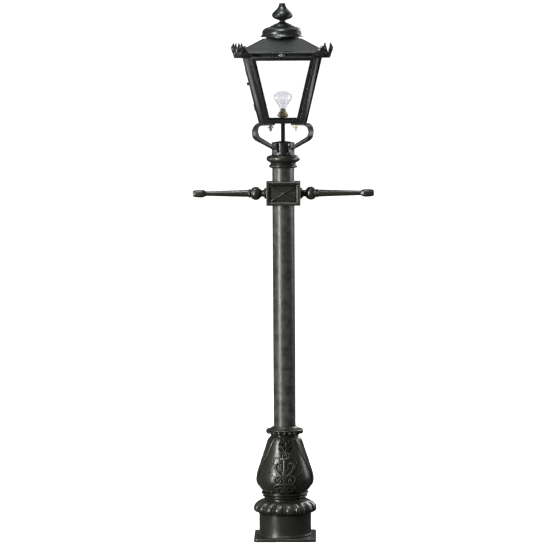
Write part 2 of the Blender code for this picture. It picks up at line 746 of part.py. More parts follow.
def knob_place():
    """A frame on the knob's axis: Z out of the left face, Y up it, X towards the front corner."""
    half = wall_half(KNOB_HEIGHT)
    out = Vector((-1.0, 0.0, -TAPER)).normalized()
    along = Vector((0.0, -1.0, 0.0))
    up = out.cross(along).normalized()
    if up.z < 0.0:
        up.negate()
        along.negate()
    axes = Matrix((along, up, out)).transposed().to_4x4()
    return place_mm(-half, -(half - KNOB_IN), KNOB_HEIGHT, axes)


def door():
    axis = axis_empty("door_axis", hinge_place(BODY_BOTTOM))
    frame = glazing_frame("door_frame", "left", DOOR_CLEARANCE)
    spindle_hole = cylinder_mesh("spindle_hole", SPINDLE_HOLE, -15.0, 6.0, 12)
    cut(frame, spindle_hole, knob_place())
    keep_place(frame, axis)
    keep_place(glass_pane("door_glass", "left"), axis)
    door_hinges(axis)
    return axis


def door_catch(door_axis):
    """The outside knob with its spindle, and the tongue that it turns behind the front post."""
    place = knob_place()
    axis = axis_empty("catch_axis", place)
    inside = -(LEG_THICKNESS + 0.6)
    knob_profile = ((0.0, 8.4), (4.0, 8.0), (6.4, 6.0), (7.0, 3.8), (5.6, 1.6), (4.0, 0.4),
                    (SPINDLE_RADIUS, 0.4), (SPINDLE_RADIUS, inside), (0.0, inside))
    knob = turned("door_knob", knob_profile, coated_steel, 12)
    knob.matrix_world = place
    keep_place(knob, axis)
    half = TONGUE_WIDTH / 2.0
    top, bottom = inside - GAP, inside - GAP - TONGUE_THICKNESS
    outline = [(-half, -half), (half, -half), (half, TONGUE_LENGTH), (-half, TONGUE_LENGTH)]
    tongue_mesh = prism_mesh("door_catch", [(x, y, bottom) for x, y in outline], [(x, y, top) for x, y in outline])
    tongue = add_object("door_catch", tongue_mesh, brass)
    tongue.matrix_world = place
    keep_place(tongue, axis)
    keep_place(axis, door_axis)


# ---------------------------------------------------------------- roof

def eaves_fascia():
    profile = [(half, EAVES_BOTTOM + height) for half, height in EAVES_SECTION]
    squared("eaves_fascia", profile, coated_steel)


def roof():
    """A pyramid of sheet, flanged at the eaves, with a round vent opening in a level deck."""
    flange_low = FLANGE_HEIGHT - FLANGE_THICKNESS
    profile = ((ROOF_HALF, flange_low), (ROOF_HALF, FLANGE_HEIGHT - 1.0), (FLANGE_HALF, FLANGE_HEIGHT),
               (DECK_HALF, DECK_HEIGHT), (0.0, DECK_HEIGHT), (0.0, DECK_HEIGHT - ROOF_SHEET),
               (DECK_HALF, DECK_HEIGHT - ROOF_SHEET), (FLANGE_HALF, flange_low))
    sheet = squared("roof", profile, coated_steel)
    cut(sheet, cylinder_mesh("vent_opening", VENT_RADIUS + GAP, DECK_HEIGHT - 20.0, DECK_HEIGHT + 20.0, ROUND))


def crest_lean(rise):
    """How far a crest leans out at a height above its bottom."""
    for (low, lean_low), (high, lean_high) in zip(CREST_LEAN, CREST_LEAN[1:]):
        if rise <= high:
            return lean_low + (lean_high - lean_low) * (rise - low) / (high - low)
    return CREST_LEAN[-1][1]


def corner_crest(index):
    """An L-shaped cast crest round a corner of the eaves, leaning outwards."""
    rows = 3
    wing = CREST_EDGE[1:]
    columns = [(-s, top) for s, top in reversed(wing)] + [CREST_EDGE[0]] + list(wing)
    points = []
    for inner in (0.0, CREST_THICKNESS):
        for s, top in columns:
            for row in range(rows):
                rise = top * row / (rows - 1)
                out = CREST_BASE_HALF + crest_lean(rise) - inner
                corner = min(out, CREST_BASE_HALF - abs(s)) if s else out
                height = CREST_BOTTOM + rise
                points.append((out, corner, height) if s > 0 else (corner, out, height))
    per_layer = len(columns) * rows
    faces = []
    for c in range(len(columns) - 1):
        for r in range(rows - 1):
            a = c * rows + r
            b = a + rows
            faces.append([a, b, b + 1, a + 1])
            faces.append([per_layer + a, per_layer + b, per_layer + b + 1, per_layer + a + 1])
        for r in (0, rows - 1):
            a = c * rows + r
            faces.append([a, a + rows, per_layer + a + rows, per_layer + a])
    for c in (0, len(columns) - 1):
        for r in range(rows - 1):
            a = c * rows + r
            faces.append([a, a + 1, per_layer + a + 1, per_layer + a])
    name = "corner_crest_" + CORNER_NAMES[index]
    crest = add_object(name, mesh_from(name, points, faces), coated_steel)
    crest.rotation_euler.z = math.radians(90.0 * index)


def vent_collar():
    inner = VENT_RADIUS - VENT_WALL
    profile = ((VENT_RADIUS, VENT_BOTTOM), (VENT_RADIUS, VENT_TOP), (inner, VENT_TOP), (inner, VENT_BOTTOM))
    collar = turned("vent_collar", profile, coated_steel)
    for index in range(4):
        half = tuple(size / 2.0 for size in VENT_SLOT)
        turn = Matrix.Rotation(math.radians(45.0 * index + 5.0), 4, "Z")
        cut(collar, box_mesh("vent_slot", half), place_mm(0.0, 0.0, VENT_SLOT_HEIGHT, turn))


def dome_cap():
    stud_hole = 4.3
    outer = ((85.5, 2016.5), (88.5, 2016.5), (88.5, 2019.0), (82.5, 2028.0), (78.5, 2042.0), (67.0, 2053.5),
             (47.0, 2060.0), (35.0, 2065.0), (20.0, 2073.0), (stud_hole, 2073.0))
    inner = ((stud_hole, 2067.0), (20.0, 2067.0), (45.0, 2056.0), (64.0, 2050.0), (75.0, 2041.0),
             (80.0, 2025.0))
    turned("dome_cap", outer + inner, coated_steel)


def finial():
    base = 2073.3
    stud = 4.0
    profile = ((0.0, 2052.0), (stud, 2052.0), (stud, base), (18.3, base), (11.5, 2080.0), (18.0, 2087.0),
               (36.0, 2095.5), (42.6, 2103.5), (39.6, 2112.0), (27.5, 2123.5), (17.3, 2134.5), (12.3, 2146.0),
               (12.0, 2152.0), (0.0, 2152.0))
    turned("finial", profile, coated_steel, MEDIUM_ROUND)


# ---------------------------------------------------------------- lamp

def lamp_holder():
    bore = CONDUIT_RADIUS + GAP
    profile = ((bore, TRAY_TOP + GAP), (16.0, TRAY_TOP + GAP), (16.0, 1688.0), (13.0, 1694.0), (15.0, 1698.0),
               (22.0, 1700.0), (22.4, 1707.0), (21.0, 1710.0), (18.0, 1719.0), (14.0, 1719.0), (14.0, 1706.0),
               (0.0, 1706.0), (0.0, 1692.0), (bore, 1692.0))
    turned("lamp_holder", profile, brass, MEDIUM_ROUND)


def bulb(lamp_axis):
    cap_profile = ((0.0, 1706.4), (6.0, 1706.4), (8.0, 1709.0), (13.2, 1711.0), (13.3, 1733.0), (0.0, 1733.0))
    cap = turned("bulb_cap", cap_profile, brass, MEDIUM_ROUND)
    keep_place(cap, lamp_axis)
    neck = 1733.3
    outer = ((12.6, neck), (17.5, 1742.0), (30.0, 1762.0), (36.6, 1776.5), (30.0, 1791.0), (15.0, 1799.0),
             (0.0, 1800.6))
    wall = 1.4
    inner = tuple((max(0.0, radius - wall), height - wall) for radius, height in reversed(outer[1:]))
    glass = turned("bulb_glass", outer + inner + ((12.6 - wall, neck),), clear_glass, MEDIUM_ROUND)
    keep_place(glass, lamp_axis)


def bulb_filament(lamp_axis):
    """Two support wires and the filament strung between them, as one bent wire."""
    foot = 1733.4
    spread, top, zigzag, teeth = 9.0, 1766.0, 3.0, 6
    route = [Vector((-3.0, 0.0, foot)), Vector((-3.0, 0.0, foot + 12.0)), Vector((-spread, 0.0, top))]
    for tooth in range(1, teeth):
        x = -spread + 2.0 * spread * tooth / teeth
        route.append(Vector((x, 0.0, top + (zigzag if tooth % 2 else -zigzag))))
    route += [Vector((spread, 0.0, top)), Vector((3.0, 0.0, foot + 12.0)), Vector((3.0, 0.0, foot))]
    curve = bpy.data.curves.new("bulb_filament", "CURVE")
    curve.dimensions = "3D"
    curve.bevel_depth = 0.6 * MM
    curve.bevel_resolution = 1
    curve.use_fill_caps = True
    spline = curve.splines.new("POLY")
    spline.points.add(len(route) - 1)
    for point, place in zip(spline.points, route):
        point.co = (*(place * MM), 1.0)
    wire = add_object("bulb_filament", curve, coated_steel)
    keep_place(wire, lamp_axis)


# ---------------------------------------------------------------- the whole lamp post

def build():
    clear_scene()
    base_plate()
    plinth()
    gadroon_ring()
    base_vase()
    beaded_collar()
    shaft_tube()
    column_capital()
    top_spigot()
    ladder_boss()
    ladder_arm("ladder_arm_left", -1)
    ladder_arm("ladder_arm_right", 1)
    support_collar()
    conduit_tube()
    terminal_block()
    lamp_lead()
    base_tray()
    for index in range(4):
        support_set_screw(index)
        support_bar(index)
        fixing_screw(index)
        corner_post(index)
        corner_crest(index)
    for face in ("front", "right", "rear"):
        glazing_frame(face + "_frame", face)
        glass_pane(face + "_glass", face)
    door_axis = door()
    door_catch(door_axis)
    eaves_fascia()
    roof()
    vent_collar()
    dome_cap()
    finial()
    lamp_holder()
    lamp_axis = axis_empty("lamp_axis", place_mm(0.0, 0.0, 1733.0))
    bulb(lamp_axis)
    bulb_filament(lamp_axis)


build()
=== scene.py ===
"""Looks of the street lamp post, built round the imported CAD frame.

Lengths are in millimetres unless a comment says otherwise. Heights are from the ground, but on the
eaves, the crests and a lifted section they are from its own bottom. +Z is up and the front of the
lamp faces -Y. Angles about Z are in degrees from +X, so the front is at -90.
"""

import json
import math

import bmesh
import bpy
from mathutils import Matrix, Vector


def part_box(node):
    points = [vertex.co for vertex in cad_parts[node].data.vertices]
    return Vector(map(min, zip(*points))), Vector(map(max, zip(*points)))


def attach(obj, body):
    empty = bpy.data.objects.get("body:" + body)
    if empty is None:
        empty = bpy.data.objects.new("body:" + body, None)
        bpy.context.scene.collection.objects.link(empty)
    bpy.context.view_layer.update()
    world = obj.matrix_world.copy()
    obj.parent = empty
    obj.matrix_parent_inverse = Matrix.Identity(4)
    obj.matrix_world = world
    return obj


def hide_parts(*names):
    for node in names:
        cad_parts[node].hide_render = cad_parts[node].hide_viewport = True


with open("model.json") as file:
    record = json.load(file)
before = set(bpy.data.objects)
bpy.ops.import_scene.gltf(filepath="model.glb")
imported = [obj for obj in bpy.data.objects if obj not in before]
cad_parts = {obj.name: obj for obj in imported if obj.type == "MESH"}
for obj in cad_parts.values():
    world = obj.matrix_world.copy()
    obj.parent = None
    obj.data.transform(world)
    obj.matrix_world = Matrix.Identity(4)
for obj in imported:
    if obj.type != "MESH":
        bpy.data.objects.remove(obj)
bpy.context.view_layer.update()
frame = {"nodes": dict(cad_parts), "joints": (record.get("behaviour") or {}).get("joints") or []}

MM = 0.001
TAU = 2 * math.pi
SIDES = 96                     # of a large turned piece
SMALL_SIDES = 40               # of a small one
SHARP_ANGLE = 35               # degrees, past which a smooth mesh shows an edge
BEVEL_ANGLE = 30               # degrees, past which an edge is rounded
THINNEST = 0.25                # half width of a raised band's tip

CORNERS = ("rear_right", "rear_left", "front_left", "front_right")
FACE_TURNS = (0, 90, 180, 270)      # front, right, rear, left
SQUARE = ((-1, -1), (1, -1), (1, 1), (-1, 1))
TUBE_BORE = 44.8               # radius inside the castings that sit on the column tube
SPIGOT_BORE = 38.3             # and inside the support collar
CONDUIT_BORE = 9.6             # and round the conduit


# ---- mesh helpers
# A solid is a pair: points in millimetres, and faces as lists of point numbers.

def span(node):
    """Lowest and highest point of a CAD node, in millimetres."""
    low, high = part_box(node)
    return low / MM, high / MM


def curve_through(points, steps=4):
    """A smooth line through the points, which may have any number of coordinates."""
    points = [tuple(p) for p in points]
    before = tuple(2 * a - b for a, b in zip(points[0], points[1]))
    after = tuple(2 * a - b for a, b in zip(points[-1], points[-2]))
    padded = [before, *points, after]
    line = []
    for i in range(len(points) - 1):
        for step in range(steps):
            t = step / steps
            line.append(tuple(
                0.5 * (2 * b + (c - a) * t + (2 * a - 5 * b + 4 * c - d) * t * t
                       + (3 * b - 3 * c + d - a) * t ** 3)
                for a, b, c, d in zip(*padded[i:i + 4])))
    line.append(points[-1])
    return line


def outline_of(*runs, steps=4):
    """A section made of runs, each starting where the one before it ends.

    A bare point is the end of a straight line, and a row of points is a smooth curve.
    """
    line = []
    for run in runs:
        if isinstance(run[0], tuple):
            line += curve_through([*line[-1:], *run], steps)
        else:
            line.append(run)
    kept = [line[0]]
    for point in line[1:]:
        if math.dist(point, kept[-1]) > 0.01:
            kept.append(point)
    return kept


def lifted(foot, *runs):
    """The runs of a section, with their heights counted from foot."""
    def lift(run):
        return tuple(lift(point) for point in run) if isinstance(run[0], tuple) else (run[0], foot + run[1])
    return [lift(run) for run in runs]


def neighbours(line, i):
    """The items before and after item i. At an end of the line, item i stands in for the missing one."""
    return line[max(i - 1, 0)], line[min(i + 1, len(line) - 1)]


def turned(outline, sides=SIDES, shape=None):
    """A closed (radius, height) outline turned about Z. shape(radius, height, angle) may reshape it."""
    points, rows = [], []
    for radius, height in outline:
        if radius < 1e-6:
            points.append((0, 0, height))
            rows.append([len(points) - 1] * sides)
            continue
        row = []
        for i in range(sides):
            angle = TAU * i / sides
            r = shape(radius, height, angle) if shape else radius
            points.append((r * math.cos(angle), r * math.sin(angle), height))
            row.append(len(points) - 1)
        rows.append(row)
    return points, ring_faces(rows)


def ring_faces(rows):
    """Faces between closed rows, the last of which joins the first."""
    faces = []
    for lower, upper in zip(rows, rows[1:] + rows[:1]):
        count = len(lower)
        for j in range(count):
            k = (j + 1) % count
            face = list(dict.fromkeys((lower[j], lower[k], upper[k], upper[j])))
            if len(face) >= 3:
                faces.append(face)
    return faces


def ringed(rows):
    """A solid through closed rows with the same number of points, the last of which joins the first."""
    count = len(rows[0])
    numbers = [list(range(count * i, count * (i + 1))) for i in range(len(rows))]
    return [p for row in rows for p in row], ring_faces(numbers)


def square_frame(section):
    """A closed (half width, height) section carried round a square."""
    return ringed([[(x * half, y * half, height) for x, y in SQUARE] for half, height in section])


def lofted(sections):
    """A solid through closed sections with the same number of points, capped at both ends."""
    count = len(sections[0])
    points = [p for section in sections for p in section]
    faces = [list(range(count)), [len(points) - count + i for i in range(count)]]
    for row in range(len(sections) - 1):
        for i in range(count):
            k = (i + 1) % count
            a, b = row * count, (row + 1) * count
            faces.append([a + i, a + k, b + k, b + i])
    return points, faces


def merged(*solids):
    points, faces = [], []
    for own_points, own_faces in solids:
        first = len(points)
        points += own_points
        faces += [[first + i for i in face] for face in own_faces]
    return points, faces


def moved(solid, matrix):
    return [matrix @ Vector(p) for p in solid[0]], solid[1]


def turn_z(degrees):
    return Matrix.Rotation(math.radians(degrees), 4, "Z")


def to_corner(index):
    """Turns +X onto the diagonal of a corner."""
    return turn_z(45 + 90 * index)


def box_solid(half, centre):
    return lofted([[(centre[0] + x * half[0], centre[1] + y * half[1], centre[2] + z * half[2])
                    for x, y in SQUARE] for z in (-1, 1)])


def many_sided(sides, radius, angle):
    """The radius of a regular polygon whose corners are at radius."""
    half = math.pi / sides
    away = (angle + half) % (2 * half) - half
    return radius * math.cos(half) / math.cos(away)


def knurled(depth, ridges, beyond):
    """Shape a turned piece past a radius into fine ridges."""
    def shape(radius, height, angle):
        return radius - depth * (0.5 + 0.5 * math.cos(ridges * angle)) if radius > beyond else radius
    return shape


def mesh_of(name, solid, smooth=True):
    points, faces = solid
    work = bmesh.new()
    verts = [work.verts.new(Vector(p) * MM) for p in points]
    for face in faces:
        work.faces.new([verts[i] for i in face])
    bmesh.ops.recalc_face_normals(work, faces=work.faces)
    mesh = bpy.data.meshes.new(name)
    work.to_mesh(mesh)
    work.free()
    if smooth:
        mesh.shade_smooth()
        mesh.set_sharp_from_angle(angle=math.radians(SHARP_ANGLE))
    return mesh


def add(name, solid, material, slot, body, *nodes, smooth=True):
    """A piece that rides on a body and stands for CAD nodes."""
    mesh = mesh_of(name, solid, smooth)
    mesh.materials.append(material)
    piece = bpy.data.objects.new(name, mesh)
    bpy.context.scene.collection.objects.link(piece)
    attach(piece, body)
    if nodes:
        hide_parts(*nodes)
    return piece


def soften(item, width, segments=2, weld=False):
    """Round an item's hard edges. CAD meshes are welded first, since they come in split at edges."""
    if weld:
        join = item.modifiers.new("weld", "WELD")
        join.merge_threshold = 0.00001
    bevel = item.modifiers.new("edges", "BEVEL")
    bevel.width = width * MM
    bevel.segments = segments
    bevel.limit_method = "ANGLE"
    bevel.angle_limit = math.radians(BEVEL_ANGLE)
    bevel.harden_normals = True


def bore(piece, radius, low, high):
    """Cut a round hole down Z through a piece, for good."""
    hole = turned([(0, low), (radius, low), (radius, high), (0, high)], SIDES)
    cutter = bpy.data.objects.new("cutter", mesh_of("cutter", hole))
    bpy.context.scene.collection.objects.link(cutter)
    cut = piece.modifiers.new("bore", "BOOLEAN")
    cut.object = cutter
    cut.solver = "EXACT"
    bpy.context.view_layer.update()
    whole = bpy.data.meshes.new_from_object(piece.evaluated_get(bpy.context.evaluated_depsgraph_get()))
    piece.modifiers.clear()
    piece.data = whole
    bpy.data.objects.remove(cutter)


# ---- raised work on a surface
# surface(u, v) gives a point and an outward normal, in millimetres.

def both_halves(half, crown):
    """A section across a band, from its left half and the point on its centre line."""
    return (*half, crown, *[(-x, y) for x, y in reversed(half)])


ROUND_BAND = both_halves(((-1, -0.35), (-0.97, 0.4), (-0.84, 0.74), (-0.5, 0.94)), (0, 1))
# a leaf's section has a raised rim on each side and a rib down the middle
LEAF_BAND = both_halves(((-1, -0.35), (-0.97, 0.35), (-0.78, 0.62), (-0.45, 0.42), (-0.18, 0.4)), (0, 1))


def band(surface, path, widths, rise, section=ROUND_BAND, steps=4):
    """A raised band that follows a path over a surface. widths are half widths along the path."""
    line = curve_through([(*p, w) for p, w in zip(path, widths)], steps)
    widest = max(widths)
    places = [surface(u, v) for u, v, _ in line]
    sections = []
    for i, (_, _, width) in enumerate(line):
        here, normal = places[i]
        before, after = neighbours(places, i)
        across = (after[0] - before[0]).normalized().cross(normal).normalized()
        width = max(width, THINNEST)
        height = rise * math.sqrt(min(1, width / widest))
        sections.append([here + across * (width * x) + normal * (height * y) for x, y in section])
    return lofted(sections)


def knob_on(surface, u, v, radius, rise, sides=14):
    """A low dome standing on a surface."""
    here, normal = surface(u, v)
    stand = Matrix.Translation(here) @ normal.to_track_quat("Z", "Y").to_matrix().to_4x4()
    steps = 5
    dome = [(radius * math.cos(0.5 * math.pi * i / steps), rise * math.sin(0.5 * math.pi * i / steps))
            for i in range(steps)]
    return moved(turned([(0, -1), (radius, -1), *dome, (0, rise)], sides), stand)


def mirrored(path):
    return [(-u, v) for u, v in path]


# ---- materials

def node(tree, kind, inputs=None, **settings):
    made = tree.nodes.new(kind)
    for key, value in settings.items():
        setattr(made, key, value)
    for key, value in (inputs or {}).items():
        if isinstance(value, bpy.types.NodeSocket):
            tree.links.new(value, made.inputs[key])
        else:
            made.inputs[key].default_value = value
    return made


def new_material(name):
    material = bpy.data.materials.new(name)
    material.use_nodes = True
    tree = material.node_tree
    place = node(tree, "ShaderNodeTexCoord").outputs["Object"]
    return material, tree, tree.nodes["Principled BSDF"], place


def noise(tree, place, scale, detail=3, rough=0.55):
    return node(tree, "ShaderNodeTexNoise",
                {"Vector": place, "Scale": scale, "Detail": detail, "Roughness": rough}).outputs["Fac"]


def ranged(tree, value, low, high, out_low=0, out_high=1):
    return node(tree, "ShaderNodeMapRange",
                {"Value": value, "From Min": low, "From Max": high, "To Min": out_low,
                 "To Max": out_high}).outputs["Result"]


def uneven(tree, place, scale, low, high, detail=3):
    """A value that drifts between low and high over the surface."""
    return ranged(tree, noise(tree, place, scale, detail), 0.3, 0.7, low, high)


def product(tree, a, b):
    return node(tree, "ShaderNodeMath", {0: a, 1: b}, operation="MULTIPLY").outputs[0]


def blended(tree, share, a, b):
    """Colour a turning into colour b as share goes from 0 to 1. Either is a colour or a socket."""
    made = node(tree, "ShaderNodeMix", {"Factor": share}, data_type="RGBA")
    for socket, value in ((made.inputs[6], a), (made.inputs[7], b)):
        if isinstance(value, bpy.types.NodeSocket):
            tree.links.new(value, socket)
        else:
            socket.default_value = (*value, 1)
    return made.outputs[2]


def bumped(tree, shader, layers):
    """Bump from (height, depth in metres) layers, each laid over the one before."""
    normal = None
    for height, depth in layers:
        inputs = {"Height": height, "Distance": depth, "Strength": 1}
        if normal is not None:
            inputs["Normal"] = normal
        normal = node(tree, "ShaderNodeBump", inputs).outputs["Normal"]
    tree.links.new(normal, shader.inputs["Normal"])


# painted shade for hollows and crevices, and a light colour for rubbed edges that is partly a painted
# highlight
HOLLOW_SHADE = (0.0025, 0.0024, 0.002)
CREVICE_SHADE = (0.0022, 0.0021, 0.0018)
RUBBED_AND_LIT = (0.17, 0.17, 0.15)


def painted_metal(name, colour, faded, gloss, grain, grain_depth, rub_and_highlight=0.3, swell=0.0003, shade_reach=0):
    """Gloss paint: faded patches, painted shade in hollows, edges lightened as rubbed paint and as a
    painted highlight, and the metal's grain under it.

    The last argument is how far the painted shade of a crevice, a darker colour and a duller gloss, reaches
    out of it, in metres.
    """
    material, tree, shader, place = new_material(name)
    patches = ranged(tree, noise(tree, place, 9, 5), 0.40, 0.66)
    paint = blended(tree, patches, colour, faded)
    bend = node(tree, "ShaderNodeNewGeometry").outputs["Pointiness"]
    # painted shade: hollows found by pointiness are darkened nearly to black
    paint = blended(tree, ranged(tree, bend, 0.475, 0.42, 0, 0.9), paint, HOLLOW_SHADE)
    # rubbed edges: ridges are lightened, partly as rubbed paint and partly as a painted highlight
    rubbed_and_lit_share = ranged(tree, noise(tree, place, 38, 4), 0.38, 0.62, 0.2 * rub_and_highlight, rub_and_highlight)
    paint = blended(tree, product(tree, ranged(tree, bend, 0.53, 0.60), rubbed_and_lit_share), paint, RUBBED_AND_LIT)
    # painted shade: ambient occlusion darkens the colour and dims the gloss in crevices
    if shade_reach:
        open_air = node(tree, "ShaderNodeAmbientOcclusion", {"Distance": shade_reach}, samples=8).outputs["AO"]
        paint = blended(tree, ranged(tree, open_air, 0.45, 0.92), CREVICE_SHADE, paint)
        tree.links.new(ranged(tree, open_air, 0.45, 0.92, 0.03, 0.5), shader.inputs["Specular IOR Level"])
    tree.links.new(paint, shader.inputs["Base Color"])
    tree.links.new(uneven(tree, place, 26, gloss - 0.03, gloss + 0.05, 4), shader.inputs["Roughness"])
    wavy, grainy = noise(tree, place, 55, 2), noise(tree, place, grain)
    bumped(tree, shader, ((wavy, swell), (grainy, grain_depth)))
    return material


def brass_metal(name, colour, tarnish):
    material, tree, shader, place = new_material(name)
    patches = ranged(tree, noise(tree, place, 90, 4), 0.42, 0.68)
    tree.links.new(blended(tree, patches, colour, tarnish), shader.inputs["Base Color"])
    shader.inputs["Metallic"].default_value = 0.2
    tree.links.new(uneven(tree, place, 240, 0.26, 0.44), shader.inputs["Roughness"])
    bumped(tree, shader, ((noise(tree, place, 900, 2), 0.00006),))
    return material


def pane_glass(name):
    """Clear sheet glass: what is behind it shows through, with a reflection and a little dust."""
    material, tree, shader, place = new_material(name)
    tree.nodes.remove(shader)
    clear = node(tree, "ShaderNodeBsdfTransparent", {"Color": (0.992, 0.994, 0.994, 1)})
    film = ranged(tree, noise(tree, place, 30, 4), 0.35, 0.75, 0.02, 0.10)
    shine = node(tree, "ShaderNodeBsdfGlossy", {"Color": (1, 1, 1, 1), "Roughness": film})
    edge = node(tree, "ShaderNodeFresnel", {"IOR": 1.35})
    both = node(tree, "ShaderNodeMixShader", {0: edge.outputs[0], 1: clear.outputs[0], 2: shine.outputs[0]})
    tree.links.new(both.outputs[0], tree.nodes["Material Output"].inputs["Surface"])
    return material


def blown_glass(name):
    """The lamp's thin clear glass, tinted a faint lilac grey."""
    material, tree, shader, place = new_material(name)
    shader.inputs["Transmission Weight"].default_value = 1
    shader.inputs["IOR"].default_value = 1.45
    drift = uneven(tree, place, 40, 0, 1)
    tint = blended(tree, drift, (0.825, 0.805, 0.845), (0.875, 0.86, 0.885))
    tree.links.new(tint, shader.inputs["Base Color"])
    tree.links.new(uneven(tree, place, 120, 0, 0.05), shader.inputs["Roughness"])
    return material


def dark_plastic(name, colour, roughness):
    material, tree, shader, place = new_material(name)
    speckle = ranged(tree, noise(tree, place, 300, 2), 0.35, 0.7)
    lighter = tuple(1.6 * c + 0.01 for c in colour)
    tree.links.new(blended(tree, speckle, colour, lighter), shader.inputs["Base Color"])
    tree.links.new(uneven(tree, place, 80, roughness - 0.06, roughness + 0.08), shader.inputs["Roughness"])
    bumped(tree, shader, ((noise(tree, place, 700, 2), 0.0001),))
    return material


def tungsten_wire(name):
    material, tree, shader, place = new_material(name)
    sheen = uneven(tree, place, 500, 0, 1)
    tree.links.new(blended(tree, sheen, (0.32, 0.31, 0.33), (0.5, 0.49, 0.5)), shader.inputs["Base Color"])
    shader.inputs["Metallic"].default_value = 1
    tree.links.new(uneven(tree, place, 900, 0.3, 0.45), shader.inputs["Roughness"])
    return material


IRON = painted_metal("olive_black_paint_on_iron", (0.0135, 0.0130, 0.0098), (0.0205, 0.0196, 0.0150),
                     0.30, 420, 0.0001, rub_and_highlight=0.8, shade_reach=0.010)
TUBE = painted_metal("olive_black_paint_on_tube", (0.0088, 0.0084, 0.0066), (0.0115, 0.0110, 0.0088),
                     0.36, 900, 0.00002, swell=0.00004)
COAT = painted_metal("grey_black_coat_on_steel", (0.0062, 0.0076, 0.0082), (0.0088, 0.0104, 0.0108),
                     0.30, 700, 0.00001, rub_and_highlight=0.12, swell=0.00002)
CREST_COAT = painted_metal("grey_black_coat_on_casting", (0.0065, 0.0072, 0.0070), (0.0100, 0.0106, 0.0100),
                           0.28, 500, 0.0001, rub_and_highlight=0.8, shade_reach=0.005)
# a paler coat than the rest of the lantern, so the rosettes come out light
PALE_COAT = painted_metal("pale_coat_on_casting", (0.110, 0.112, 0.100), (0.180, 0.180, 0.160),
                          0.34, 500, 0.00008, rub_and_highlight=0.9)
BRASS = brass_metal("aged_brass", (0.92, 0.80, 0.54), (0.72, 0.58, 0.36))
PALE_BRASS = brass_metal("pale_brass", (0.93, 0.86, 0.68), (0.76, 0.66, 0.46))
PANE = pane_glass("sheet_glass")
LAMP_GLASS = blown_glass("lamp_glass")
WIRE = tungsten_wire("tungsten")
CABLE = dark_plastic("cable_sheath", (0.018, 0.018, 0.018), 0.5)
TERMINAL = dark_plastic("terminal_plastic", (0.026, 0.024, 0.022), 0.42)


# ---- base

def dress_node(name, material, edge=0, segments=2):
    """Give a CAD node its finish, and round its edges."""
    item = frame["nodes"][name]
    item.data.materials.clear()
    item.data.materials.append(material)
    if edge:
        soften(item, edge, segments, weld=True)
        item.data.shade_smooth()
    return item


DRUM_INSIDE = 99               # past this radius the base's castings are outside and seen


def plinth():
    low, high = span("plinth")
    bottom, top, radius = low.z, high.z, high.x
    outline = outline_of(
        (radius, bottom), (radius, bottom + 5),
        ((radius - 0.6, bottom + 7), (radius - 2, bottom + 8.6), (radius - 2.5, bottom + 11)),
        (radius - 2.9, bottom + 40), (radius - 2.5, top - 6),
        ((radius - 1.3, top - 4.5), (radius - 1.3, top - 2), (radius - 2.5, top)),
        (DRUM_INSIDE - 1.5, top), (DRUM_INSIDE - 1.5, bottom))

    def cast(r, height, angle):
        """The casting isn't quite round, and swells a little where its mould halves met."""
        if r < DRUM_INSIDE:
            return r
        return r + 0.35 * math.sin(3 * angle + 0.7) + 0.25 * math.sin(height * 0.09 + 5 * angle)

    add("plinth_drum", turned(outline, SIDES, cast), IRON, "cast_iron", "post", "plinth")


LOBES = 16
GADROON_OUTER = ((104, 106.5), (112, 106.6), (120, 108.6), (126.2, 113.6), (128.6, 121), (127.6, 128.5),
                 (123, 136.5), (116, 143.6), (108, 149.2), (98, 154.2), (90, 157), (86, 158))
GROOVE_DEPTH = 6


def lobed(radius, height, angle):
    """Wide lobes with a thin rib standing in each groove between them."""
    if radius < DRUM_INSIDE:
        return radius
    pitch = 360 / LOBES
    away = abs((math.degrees(angle) + 0.5 * pitch) % pitch - 0.5 * pitch)
    rib, trough = 1.5, 2.4
    if away < rib:
        sunk = 0.55 - 0.25 * math.cos(math.pi * away / rib)
    elif away < trough:
        sunk = 0.80 + 0.20 * (away - rib) / (trough - rib)
    else:
        sunk = (1 - (away - trough) / (0.5 * pitch - trough)) ** 3.2
    fade = min(1, (radius - DRUM_INSIDE) / 14)
    return radius - GROOVE_DEPTH * sunk * fade


def gadroon_ring():
    inner = ((78, 158), (78, 140), (96, 106.3))
    outline = outline_of(GADROON_OUTER, *inner, steps=3)
    add("gadroon_casting", turned(outline, LOBES * 20, lobed), IRON, "cast_iron", "post", "gadroon_ring")


VASE_FOOT = (
    ((84, 158.3), (83, 162), (84, 166.5)),
    (85.4, 168), ((89.4, 169.6), (90.4, 172.6), (88.4, 175.6)),
    ((87.6, 178), (90.6, 180.6)),
    ((94.8, 181.6), (96.2, 184.6), (94.8, 187.6), (91, 189)),
    ((90.6, 191), (92.6, 194.5)),
)
VASE_BODY = ((92.6, 194.5), (98, 200.5), (105.5, 211), (111.2, 223), (113.8, 238), (112.4, 256),
             (107.6, 277), (100, 300), (89.8, 331), (78.6, 364), (72, 386), (67.4, 401),
             (62.6, 409), (57.6, 414.5), (55.4, 419), (55.2, 420))
VASE_LINE = curve_through(VASE_BODY, 4)


def vase_radius(height):
    for (r0, z0), (r1, z1) in zip(VASE_LINE, VASE_LINE[1:]):
        if z0 <= height <= z1:
            return r0 + (r1 - r0) * (height - z0) / (z1 - z0)
    return VASE_LINE[0][0] if height < VASE_LINE[0][1] else VASE_LINE[-1][0]


def vase_at(degrees, height):
    """The vase's surface at an angle and a height."""
    radius = vase_radius(height)
    slope = (vase_radius(height + 1) - vase_radius(height - 1)) / 2
    angle = math.radians(degrees)
    out = Vector((math.cos(angle), math.sin(angle), 0))
    return out * radius + Vector((0, 0, height)), (out - Vector((0, 0, slope))).normalized()


def panel_surface(centre):
    """A panel's surface, by distance to the side of its centre line, as seen from the front, and height."""
    def surface(side, height):
        turn = math.degrees(math.asin(max(-0.98, min(0.98, side / vase_radius(height)))))
        return vase_at(centre + turn, height)
    return surface


SCROLL_WIDTH = 1.35            # scales the scrollwork's widths
SCROLL_RISE = 1.9              # and its heights
